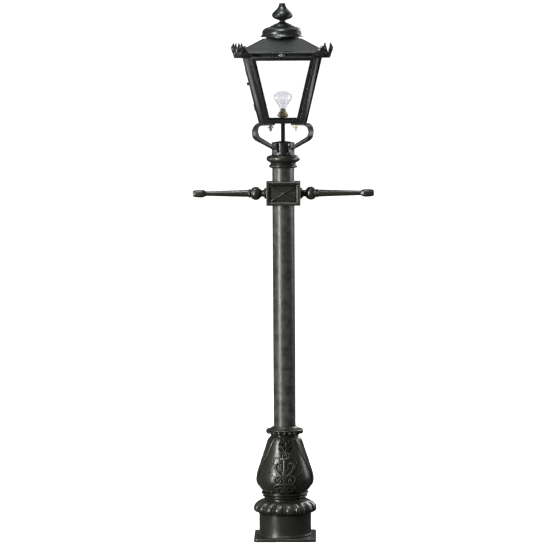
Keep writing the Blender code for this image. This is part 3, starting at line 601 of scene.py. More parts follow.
# half of the scrollwork on a main panel: path as (to the side, height), half widths, rise
SCROLLS = (
    # heart-shaped loop that springs from the trunk and ends in a ball
    (((-4, 258), (-13, 264), (-24, 273), (-32.5, 286), (-35.5, 299), (-32.5, 309.5), (-24, 315)),
     (5.4, 5, 4.6, 4.6, 4.2, 3.4, 2.6), 3.6),
    (((-3, 283), (-10, 287), (-15, 296), (-14.5, 306), (-18, 311.5)), (1.6, 1.8, 1.8, 1.6, 1.2), 2.4),
    # thin arcs that hang from the cup
    (((-9, 333.5), (-22, 336), (-34, 333.5), (-43.5, 326), (-47, 314), (-43.5, 303)),
     (2, 1.7, 1.6, 1.6, 1.5, 0.8), 2.2),
    # long side branch with a curled tip
    (((-6, 268), (-20, 266.5), (-35, 263), (-49, 264.5), (-60, 271), (-65.5, 281), (-61, 287),
      (-55.5, 283), (-57.5, 278.5)), (3, 2.2, 1.6, 1.4, 1.4, 1.3, 1.2, 1, 0.7), 2.2),
    # volute below it
    (((-5, 255), (-14, 262.5), (-26, 264), (-36.5, 259), (-40.5, 249.5), (-36.5, 239.5), (-26.5, 235.5),
      (-17.5, 240), (-15.5, 248.5), (-21.5, 254), (-27.5, 250.5), (-25.5, 245.5)),
     (4.4, 4, 3.6, 3.3, 3.1, 2.9, 2.7, 2.4, 2.1, 1.9, 1.7, 1.3), 3.4),
    # curls at the trunk's foot
    (((-4, 234), (-14, 231.5), (-27, 230.5), (-38, 226), (-41, 219), (-34, 215.5), (-28.5, 219)),
     (3.6, 3.6, 3.2, 2.8, 2.4, 2, 1.1), 3),
    (((-6, 216), (-15, 219), (-23, 214), (-27, 206.5)), (4, 3.4, 2.6, 1.2), 2.8),
    # stems that twist together under the leaves
    (((-12, 334), (-18, 341), (-17, 350), (-8, 356), (1.5, 362), (7, 370), (5, 379)),
     (2.2, 2.6, 2.5, 2.3, 2.2, 2, 1), 2.6),
    (((-6, 333), (-7.5, 341), (-6, 349), (0, 354.5)), (1.6, 1.8, 1.6, 0.9), 2.2),
)
# leaves of the tuft at the top, half of them
TUFT = (
    (((-1, 359), (-8, 368), (-15, 377), (-20.5, 388), (-20, 397)), (1.2, 3.6, 4.4, 3.6, 0.7), 3.2),
    (((-1, 366), (-6, 378), (-11, 390), (-14, 402), (-11.5, 408)), (1.2, 3.4, 4.2, 3.2, 0.7), 3.4),
    (((-2, 357), (-11, 361), (-20, 367), (-25.5, 375)), (1, 3, 3.4, 0.6), 2.8),
)
TRUNK = (((0, 200), (0, 207), (0, 216), (0, 226), (0, 238), (0, 252), (0, 264),
          (0, 276), (0, 294), (0, 312), (0, 326)),
         (16, 13, 9, 6.2, 5.6, 8, 9, 6.6, 4.4, 4.2, 4.8), 4)
CENTRE_LEAF = (((0, 358), (0, 372), (0, 388), (0, 402), (0, 411)), (1.4, 4.2, 5.4, 4, 0.6), 4)
CUP = (((-19, 332.5), (-10, 329.5), (0, 328.6), (10, 329.5), (19, 332.5)), (1.8, 3.4, 4, 3.4, 1.8), 4.2)
# knobs beside the trunk, on each side: to the side, height, radius, rise
SCROLL_KNOBS = ((21.5, 313.5, 5.6, 7.4), (27, 203, 4.4, 5.4), (24.5, 247, 4.2, 6.4))
# edge of a main panel: degrees from its centre, height
PANEL_EDGE = ((36, 407), (43, 396), (47.5, 380), (51, 362), (56, 335), (63, 305), (70, 278),
              (73.5, 256), (73, 238), (68, 220), (59, 207), (46, 200.5), (30, 199))
PANEL_EDGE_WIDTHS = (1.4, 3, 4.6, 5.2, 4.6, 3.2, 2.6, 2.8, 3.2, 3.2, 2.8, 2.2, 0.8)
# leaves on the narrow panel between two main ones, right half
SIDE_LEAVES = (
    (((0, 300), (7, 312), (13, 328), (14, 346)), (1.2, 3.6, 4.2, 0.6), 2.8),
    (((0, 326), (7, 338), (13, 354), (14.5, 371)), (1.2, 3.6, 4.2, 0.6), 2.8),
    (((0, 352), (6, 362), (11.5, 376), (12, 391)), (1.2, 3.2, 3.8, 0.6), 2.6),
    (((0, 272), (6, 283), (10, 297), (9.5, 312)), (1, 2.8, 3.2, 0.6), 2.4),
)
SIDE_STEM = (((0, 214), (0, 240), (0, 270), (0, 310), (0, 350), (0, 380), (0, 404)),
             (3, 4.6, 3, 2.4, 2.4, 3.4, 0.6), 3)


def main_panel(centre):
    surface = panel_surface(centre)
    solids = []

    def scroll(path, widths, rise, section=ROUND_BAND):
        solids.append(band(surface, path, [w * SCROLL_WIDTH for w in widths], rise * SCROLL_RISE, section))

    scroll(*CENTRE_LEAF, LEAF_BAND)
    scroll(*TRUNK)
    scroll(*CUP)
    for path, widths, rise in SCROLLS:
        scroll(path, widths, rise)
        scroll(mirrored(path), widths, rise)
    for path, widths, rise in TUFT:
        scroll(path, widths, rise, LEAF_BAND)
        scroll(mirrored(path), widths, rise, LEAF_BAND)
    for side in (-1, 1):
        for aside, height, radius, rise in SCROLL_KNOBS:
            solids.append(knob_on(surface, side * aside, height, radius, rise))
        edge = [(centre + side * degrees, height) for degrees, height in PANEL_EDGE]
        solids.append(band(vase_at, edge, PANEL_EDGE_WIDTHS, 5))
    solids.append(knob_on(surface, 0, 262, 4, 6))
    solids.append(knob_on(surface, 0, 341, 3.4, 4))
    return solids


def side_panel(centre):
    surface = panel_surface(centre)
    solids = [band(surface, *SIDE_STEM)]
    for path, widths, rise in SIDE_LEAVES:
        for side in (path, mirrored(path)):
            solids.append(band(surface, side, widths, rise, LEAF_BAND))
    return solids


def base_vase():
    inner = ((45, 420), (45, 390), (98, 270), (102, 238), (76, 158.3))
    outline = outline_of(*VASE_FOOT, VASE_BODY[1:], *inner)
    solids = [turned(outline, 144)]
    for centre in (-90, 90):
        solids += main_panel(centre)
    for centre in (0, 180):
        solids += side_panel(centre)
    add("vase_casting", merged(*solids), IRON, "cast_iron", "post", "base_vase")


def beaded_collar():
    outline = outline_of(
        ((56, 420.3), (57, 422.6), (61, 425)),
        ((65.6, 426), (67.6, 428.6), (68, 433), (69.4, 436.4)),
        ((73.4, 437), (75.4, 439), (74.4, 441.2), (70, 443.2)),
        ((61, 445.6), (55, 447)),
        ((54.4, 449), (51, 451.6), (47.2, 453.6), (46.6, 455)),
        (TUBE_BORE, 455), (TUBE_BORE, 420.3))
    beads, bead_radius, bead_height, ring = 20, 7.6, 431.4, 68.4
    solids = [turned(outline)]
    turns = [math.pi * i / 8 for i in range(9)]
    ball = [(bead_radius * math.sin(turn), bead_height - bead_radius * math.cos(turn)) for turn in turns]
    ball[0], ball[-1] = (0, ball[0][1]), (0, ball[-1][1])
    for i in range(beads):
        place = turn_z(-90 + 360 * i / beads) @ Matrix.Translation((ring, 0, 0))
        solids.append(moved(turned(ball, 18), place))
    add("beaded_collar_casting", merged(*solids), IRON, "cast_iron", "post", "beaded_collar")


# ---- column

def shaft():
    low, high = span("shaft_tube")
    bottom, top, radius = low.z, high.z, high.x
    wall = 5
    outline = [(radius, bottom), (radius, top - 1), (radius - 1, top), (radius - wall, top),
               (radius - wall, bottom)]
    add("column_tube", turned(outline), TUBE, "column_steel", "post", "shaft_tube")


def capital():
    foot = span("column_capital")[0].z
    outline = outline_of(*lifted(
        foot,
        (TUBE_BORE, 0), (50, 0),
        ((54, 1.4), (56.8, 5), (56.8, 9), (54.4, 13), (51, 15)),
        ((50.4, 17.6), (52.6, 21.4), (57, 24)),
        ((61.4, 26), (65.6, 30.4), (67.4, 36.6), (66, 43), (61.6, 47.6), (54, 49.6)),
        (52, 51), (TUBE_BORE, 51)))
    add("capital_casting", turned(outline), IRON, "cast_iron", "post", "column_capital")


# ---- ladder rest

def ladder_boss():
    low, high = span("ladder_boss")
    middle = (low.z + high.z) / 2
    half_x, half_y, half_z = high.x, high.y, high.z - middle
    # inset from the edge, and depth from the front face
    steps = ((0, 4), (0.6, 2.6), (3.4, 0), (9.6, 0), (11, 0.8), (12, 3.4), (14.8, 4.4), (16.2, 9))
    panel_inset, panel_depth = steps[-1]
    panel_x, panel_z = half_x - panel_inset, half_z - panel_inset
    peak, peak_depth = 3, 3.4
    front = []
    for x, depth, z in (*[(half_x - inset, depth, half_z - inset) for inset, depth in steps],
                        (peak, peak_depth, peak)):
        front.append([(-x, depth, -z), (x, depth, -z), (x, depth, z), (-x, depth, z)])
    rings = [[(x, half_y - depth, z + middle) for x, depth, z in ring] for ring in reversed(front)]
    rings += [[(x, depth - half_y, z + middle) for x, depth, z in ring] for ring in front]
    block = add("ladder_boss_block", lofted(rings), IRON, "cast_iron", "post", "ladder_boss", smooth=False)
    bore(block, TUBE_BORE, low.z - 5, high.z + 5)
    soften(block, 0.9)

    ribs = []
    for side in (-1, 1):
        def hip(share_x, share_z, side=side):
            """The panel's surface along its diagonals."""
            share = max(abs(share_x), abs(share_z))
            depth = peak_depth + (panel_depth - peak_depth) * share
            return (Vector((share_x * panel_x, side * (half_y - depth), middle + share_z * panel_z)),
                    Vector((0, side, 0)))
        for x in (-1, 1):
            for z in (-1, 1):
                path = [(x * s, z * s) for s in (0.04, 0.3, 0.6, 0.82, 0.98)]
                ribs.append(band(hip, path, (3.2, 2.8, 2.8, 3, 1.8), 3.6))
        ribs.append(knob_on(hip, 0, 0, 6.6, 5.2, 24))
        for x in (-1, 1):
            path = [(x * 0.52, 0), (x * 0.66, 0), (x * 0.86, 0)]
            ribs.append(band(hip, path, (0.6, 4.2, 6.4), 1.6, LEAF_BAND))
    add("ladder_boss_ribs", merged(*ribs), IRON, "cast_iron", "post")


def ladder_arm(name, side):
    """An arm, with distances from the column's axis. It is drawn upright and then laid down."""
    turns = [math.radians(32 + 116 * i / 12) for i in range(13)]
    ball = [(27 * math.sin(turn), 110.5 - 25 * math.cos(turn)) for turn in turns]
    outline = outline_of(
        (0, 68.8), (21, 68.8),
        ((22.6, 70.2), (22.6, 73.6), (20.6, 75.6)),
        (18.6, 76),
        ((15.2, 79), (13.6, 83), (13.8, ball[0][1] - 0.6)),
        ball[0], ball[1:], (ball[-1][0] - 0.4, ball[-1][1] + 0.4), (15.8, 132.4),
        ((17.6, 133.4), (17.6, 137.2), (16, 139.2)),
        ((14.6, 141), (14.4, 146)),
        (9.7, 306),
        ((10.4, 311), (13.4, 317), (15.4, 322)),
        (16, 334), (15.2, 346), (13.6, 357),
        ((11.6, 361.6), (7, 363.6), (0, 364)),
        steps=5)

    def faceted(radius, height, angle):
        """The bar and its tip are eight-sided and the rest is round."""
        if height < 144:
            return radius
        share = min(1, (height - 144) / 6)
        return radius + (1.06 * many_sided(8, radius, angle) - radius) * share

    lay_down = Matrix.Rotation(math.radians(90 * side), 4, "Y")
    middle = (span("ladder_boss")[0].z + span("ladder_boss")[1].z) / 2
    place = Matrix.Translation((0, 0, middle)) @ lay_down
    add(name + "_bar", moved(turned(outline, 64, faceted), place), IRON, "cast_iron", "post", name)


# ---- lantern support

SUPPORT_RADIUS = 46
BAR_HALF_WIDTH, BAR_HALF_THICK = 13, 3.5
BAR_SLOPE = math.radians(22.4)
BAR_REACH, BAR_BEND = 158.6, 31
BAR_ROOT, BAR_END = 47.5, 58


def bar_line():
    """Distance from the column's axis and height, along a support bar."""
    top = span("support_bar_front_left")[1].z - BAR_HALF_THICK
    centre_r, centre_z = BAR_REACH - BAR_BEND, top - BAR_BEND
    first = BAR_SLOPE - math.pi / 2
    start_r, start_z = centre_r + BAR_BEND * math.cos(first), centre_z + BAR_BEND * math.sin(first)
    line = [(BAR_ROOT, start_z - (start_r - BAR_ROOT) * math.tan(BAR_SLOPE))]
    line.append((0.5 * (BAR_ROOT + start_r), 0.5 * (line[0][1] + start_z)))
    steps = 24
    for step in range(steps + 1):
        angle = first + (math.pi / 2 - first) * step / steps
        line.append((centre_r + BAR_BEND * math.cos(angle), centre_z + BAR_BEND * math.sin(angle)))
    line.append((BAR_END, top))
    return line


def support_bar(index):
    line = [Vector((r, 0, z)) for r, z in bar_line()]
    wide, thick, cut = BAR_HALF_WIDTH, BAR_HALF_THICK, 1.2
    section = ((cut - wide, -thick), (wide - cut, -thick), (wide, cut - thick), (wide, thick - cut),
               (wide - cut, thick), (cut - wide, thick), (-wide, thick - cut), (-wide, cut - thick))
    sections = []
    for i, here in enumerate(line):
        before, after = neighbours(line, i)
        along = (after - before).normalized()
        across = Vector((along.z, 0, -along.x))
        sections.append([here + across * t + Vector((0, w, 0)) for w, t in section])
    name = "support_bar_" + CORNERS[index]
    add(name + "_bent", moved(lofted(sections), to_corner(index)), COAT, "support_steel", "post", name)


def support_collar():
    """A ring with a pair of cheeks round each bar's root."""
    low, high = span("support_collar")
    bottom, top = low.z, high.z
    radius = SUPPORT_RADIUS
    root = bar_line()[0][1]
    outline = outline_of(
        (SPIGOT_BORE, bottom), (radius - 1, bottom), (radius, bottom + 1.2), (radius, root - 14),
        (radius, root - 9), (radius, root + 9), (radius, top - 7),
        ((radius - 0.5, top - 5.4), (radius - 2.4, top - 4.4)),
        (16, top), (CONDUIT_BORE, top), (CONDUIT_BORE, top - 8.7), (SPIGOT_BORE, top - 8.7),
        (SPIGOT_BORE, bottom))

    def fluted(r, height, angle):
        """Deep pockets beside the bars' roots run down into shallow flutes."""
        if r < radius - 0.6:
            return r
        away = abs((math.degrees(angle) + 45) % 90 - 45)
        beside = max(0, 1 - abs(away - 26) / 6.5)
        depth = 6.4 if root - 10 < height < root + 10 else 1.4
        return r - depth * min(1, 1.8 * beside)

    solids = [turned(outline, 144, fluted)]
    cheek_half = (6.5, 2.6, 13)
    for index in range(4):
        for side in (-1, 1):
            cheek = box_solid(cheek_half, (42.5, side * (BAR_HALF_WIDTH - 1), root))
            solids.append(moved(cheek, to_corner(index)))
        pad = box_solid((5, 10, 6), (42, 0, bottom + 14.7))
        solids.append(moved(pad, to_corner(index)))
    collar = add("support_collar_casting", merged(*solids), COAT, "support_steel", "post", "support_collar")
    soften(collar, 0.7)


def hexed(hole):
    """Shape a hole of that radius into a hexagon."""
    def shape(radius, height, angle):
        return radius if radius > hole + 0.01 else many_sided(6, radius, angle)
    return shape


def set_screw(index):
    name = "support_set_screw_" + CORNERS[index]
    low, high = span(name)
    height = (low.z + high.z) / 2
    outer, radius, socket = 48.5, 4, 2
    outline = [(0, SPIGOT_BORE), (radius, SPIGOT_BORE), (radius, outer - 0.6), (radius - 0.6, outer),
               (socket, outer), (socket, outer - 3), (0, outer - 3)]
    lay_down = to_corner(index) @ Matrix.Rotation(math.radians(90), 4, "Y")
    place = Matrix.Translation((0, 0, height)) @ lay_down
    screw = moved(turned(outline, 24, hexed(socket)), place)
    add(name + "_socket", screw, COAT, "support_steel", "post", name)


def fixing_screw(index):
    """A knurled brass thumb nut with a domed end."""
    name = "fixing_screw_" + CORNERS[index]
    low, high = span(name)
    foot, top = low.z, high.z - low.z
    middle = (low + high) / 2
    shank = 3
    outline = outline_of(*lifted(
        foot,
        ((0, 0), (2.6, 0.4), (5, 2.2), (6.2, 4.6)),
        (6.6, 5.2),
        ((6.8, 8), (5.6, 9.2)),
        ((5.4, 11.4), (6.2, 12.8)),
        (11.6, 13.8),
        ((12.6, 14.8), (12.6, 16.6), (11.4, 17.6)),
        (6.6, 18.6), (6.2, 19), (6.2, 24.2), (shank, 24.2), (shank, top), (0, top)))
    place = Matrix.Translation((middle.x, middle.y, 0))
    nut = moved(turned(outline, 64, knurled(0.7, 16, 10)), place)
    add(name + "_thumb", nut, PALE_BRASS, "brass", "post", name)


def conduit():
    low, high = span("conduit_tube")
    bottom, top = low.z, high.z
    outline = [(9.3, bottom), (9.3, top - 0.5), (8.8, top), (7.6, top), (7.6, bottom)]
    add("conduit", turned(outline, SMALL_SIDES), COAT, "support_steel", "post", "conduit_tube")


# ---- roof

def eaves_surface(half, turn):
    """The outer face of the eaves on one side, by distance along it and height."""
    rotate = turn_z(turn)

    def surface(along, height):
        return rotate @ Vector((along, -half, height)), rotate @ Vector((0, -1, 0))
    return surface


# path as (along, height above the eaves' bottom), half widths, rise; left half of one side
# path as (distance along a face from its middle, height), half widths, rise
EAVES_LEAVES = (
    (((-119, 6), (-111, 9.5), (-103, 14), (-96.5, 15)), (1.6, 3, 2.6, 0.6), 2.6),
    (((-119, 5), (-109, 6), (-99, 8), (-91, 6.6)), (1.4, 2.6, 2.4, 0.5), 2.4),
    (((-119, 8), (-115, 13), (-109, 17), (-104, 18.6)), (1.4, 2.6, 2.4, 0.6), 2.4),
    (((-101, 9), (-94, 11.6), (-87.5, 10), (-85, 6.8)), (1, 2.2, 1.8, 0.5), 2.2),
)


def rosette(surface, height):
    """A small oval flower of eight petals on a raised plate."""
    solids = []
    plate = [(-12.6, height), (-8, height), (0, height), (8, height), (12.6, height)]
    solids.append(band(surface, plate, (1, 5.8, 8.4, 5.8, 1), 2.6))
    for i in range(8):
        angle = TAU * (i + 0.5) / 8
        reach_x, reach_z = 10.4 * math.cos(angle), 7.4 * math.sin(angle)
        path = [(reach_x * s, height + reach_z * s) for s in (0.2, 0.5, 0.8, 1)]
        solids.append(band(surface, path, (0.8, 2, 2.3, 0.6), 4.6, LEAF_BAND))
    solids.append(knob_on(surface, 0, height, 3.4, 6.4, 20))
    return solids


def eaves():
    bottom = span("eaves_fascia")[0].z
    section = outline_of(
        (182, 17.4), (182, 16.2),
        ((180.6, 15), (177, 14.4)),
        (174, 14), (174, 5.4), (177, 5),
        ((181.6, 4.6), (183.4, 3.4), (183.6, 1.6), (182.8, 0)),
        (138, 0), (138, 2.5), (171, 2.5), (171, 17.4))
    moulding = square_frame([(half, bottom + height) for half, height in section])
    moulding = add("eaves_moulding", moulding, COAT, "lantern_metal", "post", "eaves_fascia", smooth=False)
    soften(moulding, 0.4)
    solids, flowers = [], []
    for turn in FACE_TURNS:
        surface = eaves_surface(176, turn)
        for path, widths, rise in EAVES_LEAVES:
            raised = [(along, bottom + height) for along, height in path]
            for side in (raised, mirrored(raised)):
                solids.append(band(surface, side, widths, rise, LEAF_BAND))
        flowers += rosette(eaves_surface(180.4, turn), bottom + 9.6)
    add("eaves_leaves", merged(*solids), CREST_COAT, "lantern_metal", "post")
    add("eaves_rosettes", merged(*flowers), PALE_COAT, "lantern_metal", "post")


def on_square(half, degrees, height):
    """The point of a level square at an angle from its centre."""
    angle = math.radians(degrees)
    x, y = math.cos(angle), math.sin(angle)
    reach = half / max(abs(x), abs(y))
    return x * reach, y * reach, height


def roof():
    low, high = span("roof")
    bottom, deck, half = low.z, high.z, high.x
    columns = [45 + 360 * i / 96 for i in range(96)]
    hole, deck_half, flange_half, flange = 66.3, 72, 177, bottom + 4.3
    sheet = 3.4
    rows = []

    def circle(radius, height):
        turns = [math.radians(a) for a in columns]
        rows.append([(radius * math.cos(turn), radius * math.sin(turn), height) for turn in turns])

    def square(size, height):
        rows.append([on_square(size, a, height) for a in columns])

    circle(hole, deck)
    square(deck_half - 1.5, deck)
    square(deck_half, deck - 0.5)
    steps = 6
    for step in range(1, steps):
        share = step / steps
        square(deck_half + (flange_half - deck_half) * share, deck + (flange - deck) * share)
    square(flange_half - 1, flange + 0.4)
    square(flange_half + 1, flange + 0.2)
    for inset, rise in ((2.4, 0.2), (1.2, -0.3), (0.4, -1.2), (0, -2.6)):
        square(half - inset, flange + rise)
    square(half - 0.4, bottom)
    square(flange_half, bottom)
    square(deck_half, deck - sheet)
    circle(hole, deck - sheet)
    add("roof_sheet", ringed(rows), COAT, "lantern_metal", "post", "roof")

    seams = []
    for turn in (45, 135, 225, 315):
        def hip(share, _, turn=turn):
            """Along a hip from the flange to the deck."""
            size = flange_half + (deck_half - flange_half) * share
            height = flange + (deck - flange) * share
            reach = size * math.sqrt(2)
            angle = math.radians(turn)
            up = Vector((0.42 * math.cos(angle), 0.42 * math.sin(angle), 0.9)).normalized()
            return Vector((reach * math.cos(angle), reach * math.sin(angle), height)), up
        path = [(s, 0) for s in (0, 0.25, 0.5, 0.75, 0.97)]
        seams.append(band(hip, path, (1.6, 2, 2, 2, 1.8), 1.3, steps=2))
    add("roof_hip_seams", merged(*seams), COAT, "lantern_metal", "post")


# distance from the corner, and height above the crest's bottom, of its leafy upper edge
CREST_EDGE = ((0, 7), (2, 12), (5, 20), (7.6, 27), (9.6, 34), (11.4, 41), (13.4, 49), (15.6, 57),
              (17.6, 61), (19.2, 60.4), (20.6, 56), (22.2, 50.6), (24, 47.4), (27, 47), (31, 48.4),
              (34.6, 48), (37.6, 46), (39.6, 41.5), (41.8, 37), (44.6, 35), (47.6, 32.6), (50, 28.4),
              (53, 25), (56.4, 22.4), (60, 19), (64, 15.4), (68, 11.8), (72, 8))
CREST_LENGTH = 72              # of a wing from the corner, with a column of points each millimetre
CREST_OUT = 187.2
CREST_THICK = 2.8
# path as (distance from the corner, height above the bottom), half widths
CREST_LEAVES = (
    (((8, 3), (10.4, 18), (13.6, 36), (17.4, 56)), (2.2, 3.8, 3.8, 0.6)),
    (((12, 4), (19, 16), (26, 29), (30, 43)), (2, 4, 4, 0.6)),
    (((15, 3), (27, 12), (35, 25), (36, 40)), (2, 3.8, 3.4, 0.6)),
    (((20, 3), (34, 8), (43, 17), (46, 27)), (1.8, 3.6, 3, 0.6)),
    (((28, 2.5), (42, 4.5), (53, 9), (58, 15)), (1.6, 3.2, 2.4, 0.6)),
    (((40, 2.5), (54, 3), (62, 5), (67, 7)), (1.4, 2.6, 2, 0.5)),
    (((17, 24), (20, 32), (22, 42)), (0.8, 2.2, 0.5)),
    (((30, 18), (35, 22), (40, 29)), (0.8, 2, 0.5)),
)


def crest_top(distance):
    for (s0, z0), (s1, z1) in zip(CREST_EDGE, CREST_EDGE[1:]):
        if distance <= s1:
            return z0 + (z1 - z0) * (distance - s0) / (s1 - s0)
    return CREST_EDGE[-1][1]


def crest_out(distance, rise):
    """How far a crest stands outside its foot: it swells in the middle of a wing and curls back above."""
    swell = math.exp(-((distance - 24) / (9.5 if distance < 24 else 22)) ** 2)
    climb = max(0, min(1, rise / 42))
    curl = max(0, rise - 44) * 0.52
    return (14 * climb ** 1.25 - curl) * swell - 4 * climb * math.exp(-((distance - 6) / 6) ** 2)


def crest_wing(sign):
    """The wing on the +X side of the +X +Y corner, or for sign -1 the one on its +Y side."""
    def at(distance, rise):
        out = CREST_OUT + crest_out(distance, rise)
        along = CREST_OUT - distance
        return Vector((out, along, rise)) if sign > 0 else Vector((along, out, rise))

    def surface(distance, rise):
        away = at(distance + 0.5, rise) - at(distance - 0.5, rise)
        upward = at(distance, rise + 0.5) - at(distance, rise - 0.5)
        normal = away.cross(upward).normalized()
        outward = Vector((1, 0, 0)) if sign > 0 else Vector((0, 1, 0))
        return at(distance, rise), normal if normal.dot(outward) > 0 else -normal
    return surface


def crest_sheet(surface):
    """A wing's sheet, with its leafy edge, from the corner out."""
    wing = range(CREST_LENGTH + 1)
    rows = 14
    points = []
    for depth in (0, CREST_THICK):
        for distance in wing:
            top = crest_top(distance)
            for row in range(rows):
                here, normal = surface(distance, top * row / (rows - 1))
                points.append(here - normal * depth)
    layer = len(wing) * rows
    faces = []
    for c in range(len(wing) - 1):
        for r in range(rows - 1):
            a = c * rows + r
            faces.append([a, a + rows, a + rows + 1, a + 1])
            faces.append([layer + a, layer + a + rows, layer + a + rows + 1, layer + a + 1])
        for r in (0, rows - 1):
            a = c * rows + r
            faces.append([a, a + rows, layer + a + rows, layer + a])
    for c in (0, len(wing) - 1):
        for r in range(rows - 1):
            a = c * rows + r
            faces.append([a, a + 1, layer + a + 1, layer + a])
    return points, faces


def corner_crest(index):
    name = "corner_crest_" + CORNERS[index]
    foot = span(name)[0].z
    solids = []
    for sign in (1, -1):
        surface = crest_wing(sign)
        solids.append(crest_sheet(surface))
        for path, widths in CREST_LEAVES:
            solids.append(band(surface, path, widths, 2.8, LEAF_BAND))
        foot_rail = [(1, 1.6), (20, 1.6), (45, 1.6), (71, 1.6)]
        solids.append(band(surface, foot_rail, (1.6, 1.6, 1.6, 1.4), 1.8))
        for distance, rise in ((8, 6), (24, 10), (33, 30), (50, 7), (15, 44)):
            solids.append(knob_on(surface, distance, rise, 1.9, 3.4, 10))
    place = turn_z(90 * index) @ Matrix.Translation((0, 0, foot))
    add(name + "_leaves", moved(merged(*solids), place), CREST_COAT, "lantern_metal", "post", name)


def dome():
    outline = outline_of(
        (85.5, 2016.5), (87.6, 2016.5),
        ((88.6, 2017.2), (88.4, 2018.6), (86.6, 2020.8), (84.4, 2023.6), (83, 2026.4)),
        ((81.6, 2027.4), (81.2, 2029)),
        ((81.4, 2034), (79.8, 2040.6), (76, 2046.6), (70, 2051.4), (62, 2055), (52, 2057.6)),
        (47.6, 2058.6),
        ((48.4, 2060), (47.4, 2061.8), (44.6, 2062.4)),
        (38, 2063.8),
        ((37.6, 2065.6), (35.6, 2067), (30, 2069.4), (24, 2071.8), (20, 2073)),
        (4.3, 2073), (4.3, 2067), (20, 2066),
        ((45, 2054), (64, 2049), (75, 2041), (78.4, 2028), (80.6, 2024), (85.5, 2016.5)))
    add("dome_spinning", turned(outline, 128), COAT, "lantern_metal", "post", "dome_cap")


def finial():
    outline = outline_of(
        (0, 2052), (4, 2052), (4, 2073.3), (18, 2073.3),
        ((18.2, 2074.6), (15, 2076.4), (12, 2079), (11.4, 2081.6)),
        ((12.8, 2082.8), (15.6, 2084.2)),
        ((22.6, 2086.6), (30.4, 2089.6), (37.2, 2094), (41, 2099.2), (42, 2102.6)),
        ((43.4, 2103.4), (43.2, 2104.6), (41.4, 2105.2)),
        ((40.4, 2110), (36.8, 2115.2), (30, 2121.8), (22.8, 2128.8), (17.6, 2135.6), (14.2, 2143),
         (12.4, 2149)),
        ((12.4, 2151.2), (11.6, 2152)),
        (0, 2152))
    add("finial_turning", turned(outline, SIDES), COAT, "lantern_metal", "post", "finial")


# ---- door furniture

def knob_frame():
    """Centre of the knob's foot on the door, and a frame with Z straight out of it."""
    joint = next(j for j in frame["joints"] if j["name"] == "catch_turn")
    out = -Vector(joint["axis"])
    if out.x > 0:
        out.negate()
    place = Matrix.Translation(Vector(joint["pos_m"]) / MM)
    return place @ out.to_track_quat("Z", "Y").to_matrix().to_4x4()


def door_knob():
    outline = outline_of(
        ((0, 8.6), (2.6, 8.5), (5, 7.6), (6.6, 5.8), (7, 3.8), (6.2, 2.2)),
        ((5, 1.4), (4, 0.4)),
        (2.4, 0.4), (2.4, -8.6), (0, -8.6))
    knob = moved(turned(outline, 80, knurled(0.25, 20, 6)), knob_frame())
    add("door_knob_turning", knob, COAT, "lantern_metal", "catch", "door_knob")


def tray_upstand():
    """The square lip that stands on the tray behind the frames."""
    foot = span("base_tray")[1].z
    half, thick, height = 85, 2, 16.5
    section = ((half, foot), (half, foot + height), (half - thick, foot + height), (half - thick, foot))
    lip = add("tray_upstand", square_frame(section), COAT, "lantern_metal", "post", smooth=False)
    soften(lip, 0.5)


# ---- lamp

def lamp_holder():
    foot = span("lamp_holder")[0].z
    outline = outline_of(
        (CONDUIT_BORE, foot), (17.6, foot),
        ((18.4, foot + 1), (18, foot + 2.6), (16.2, foot + 3.6)),
        ((15, 1686), (13.4, 1690), (13.2, 1693), (15, 1697)),
        ((19, 1698.8), (22, 1700.4)),
        ((22.6, 1702), (22.6, 1706), (22, 1707.4)),
        ((20.4, 1709), (19, 1711), (18.2, 1714)),
        (18, 1717.8),
        ((17.4, 1718.8), (16, 1719.2), (14.4, 1718.8)),
        (14, 1717), (14, 1706), (0, 1706), (0, 1692), (CONDUIT_BORE, 1692), (CONDUIT_BORE, foot))
    holder = turned(outline, 144, knurled(0.5, 36, 22.2))
    add("lamp_holder_brass", holder, BRASS, "brass", "post", "lamp_holder")


def lamp_cap():
    """A screw cap with a rolled thread."""
    thread = [(13, 1712 + 0.5 * i) for i in range(33)]
    outline = [(0, 1706.4), (6, 1706.4), (7.6, 1708.4), (10.6, 1710.6), (12.4, 1711.4), *thread,
               (12.9, 1729.4), (13.3, 1731), (13.3, 1733), (0, 1733)]
    pitch = 3.6

    def rolled(radius, height, angle):
        if not 1711.8 < height < 1728.4:
            return radius
        return radius - 0.7 * (0.5 + 0.5 * math.cos(TAU * (height / pitch) - angle))

    add("lamp_cap_thread", turned(outline, SMALL_SIDES, rolled), PALE_BRASS, "brass", "lamp", "bulb_cap")


def lamp_glass():
    outer = ((12.6, 1733.3), (14, 1737), (17, 1742.4), (22.4, 1751), (29, 1760.6), (34.6, 1769.4),
             (36.6, 1777), (34.8, 1785), (29, 1792.4), (20, 1797.6), (10, 1800.2), (0, 1800.8))
    wall = 0.9
    smooth = curve_through(outer, 4)
    smooth[-1] = (0, outer[-1][1])
    inner = []
    for i, (radius, height) in enumerate(smooth):
        (r0, z0), (r1, z1) = neighbours(smooth, i)
        length = math.hypot(r1 - r0, z1 - z0)
        inner.append((max(0, radius - wall * (z1 - z0) / length), height + wall * (r1 - r0) / length))
    inner[-1] = (0, outer[-1][1] - wall)
    envelope = turned([*smooth, *reversed(inner)], 72)
    add("lamp_envelope", envelope, LAMP_GLASS, "bulb_glass", "lamp", "bulb_glass")


# ---- CAD nodes that stay

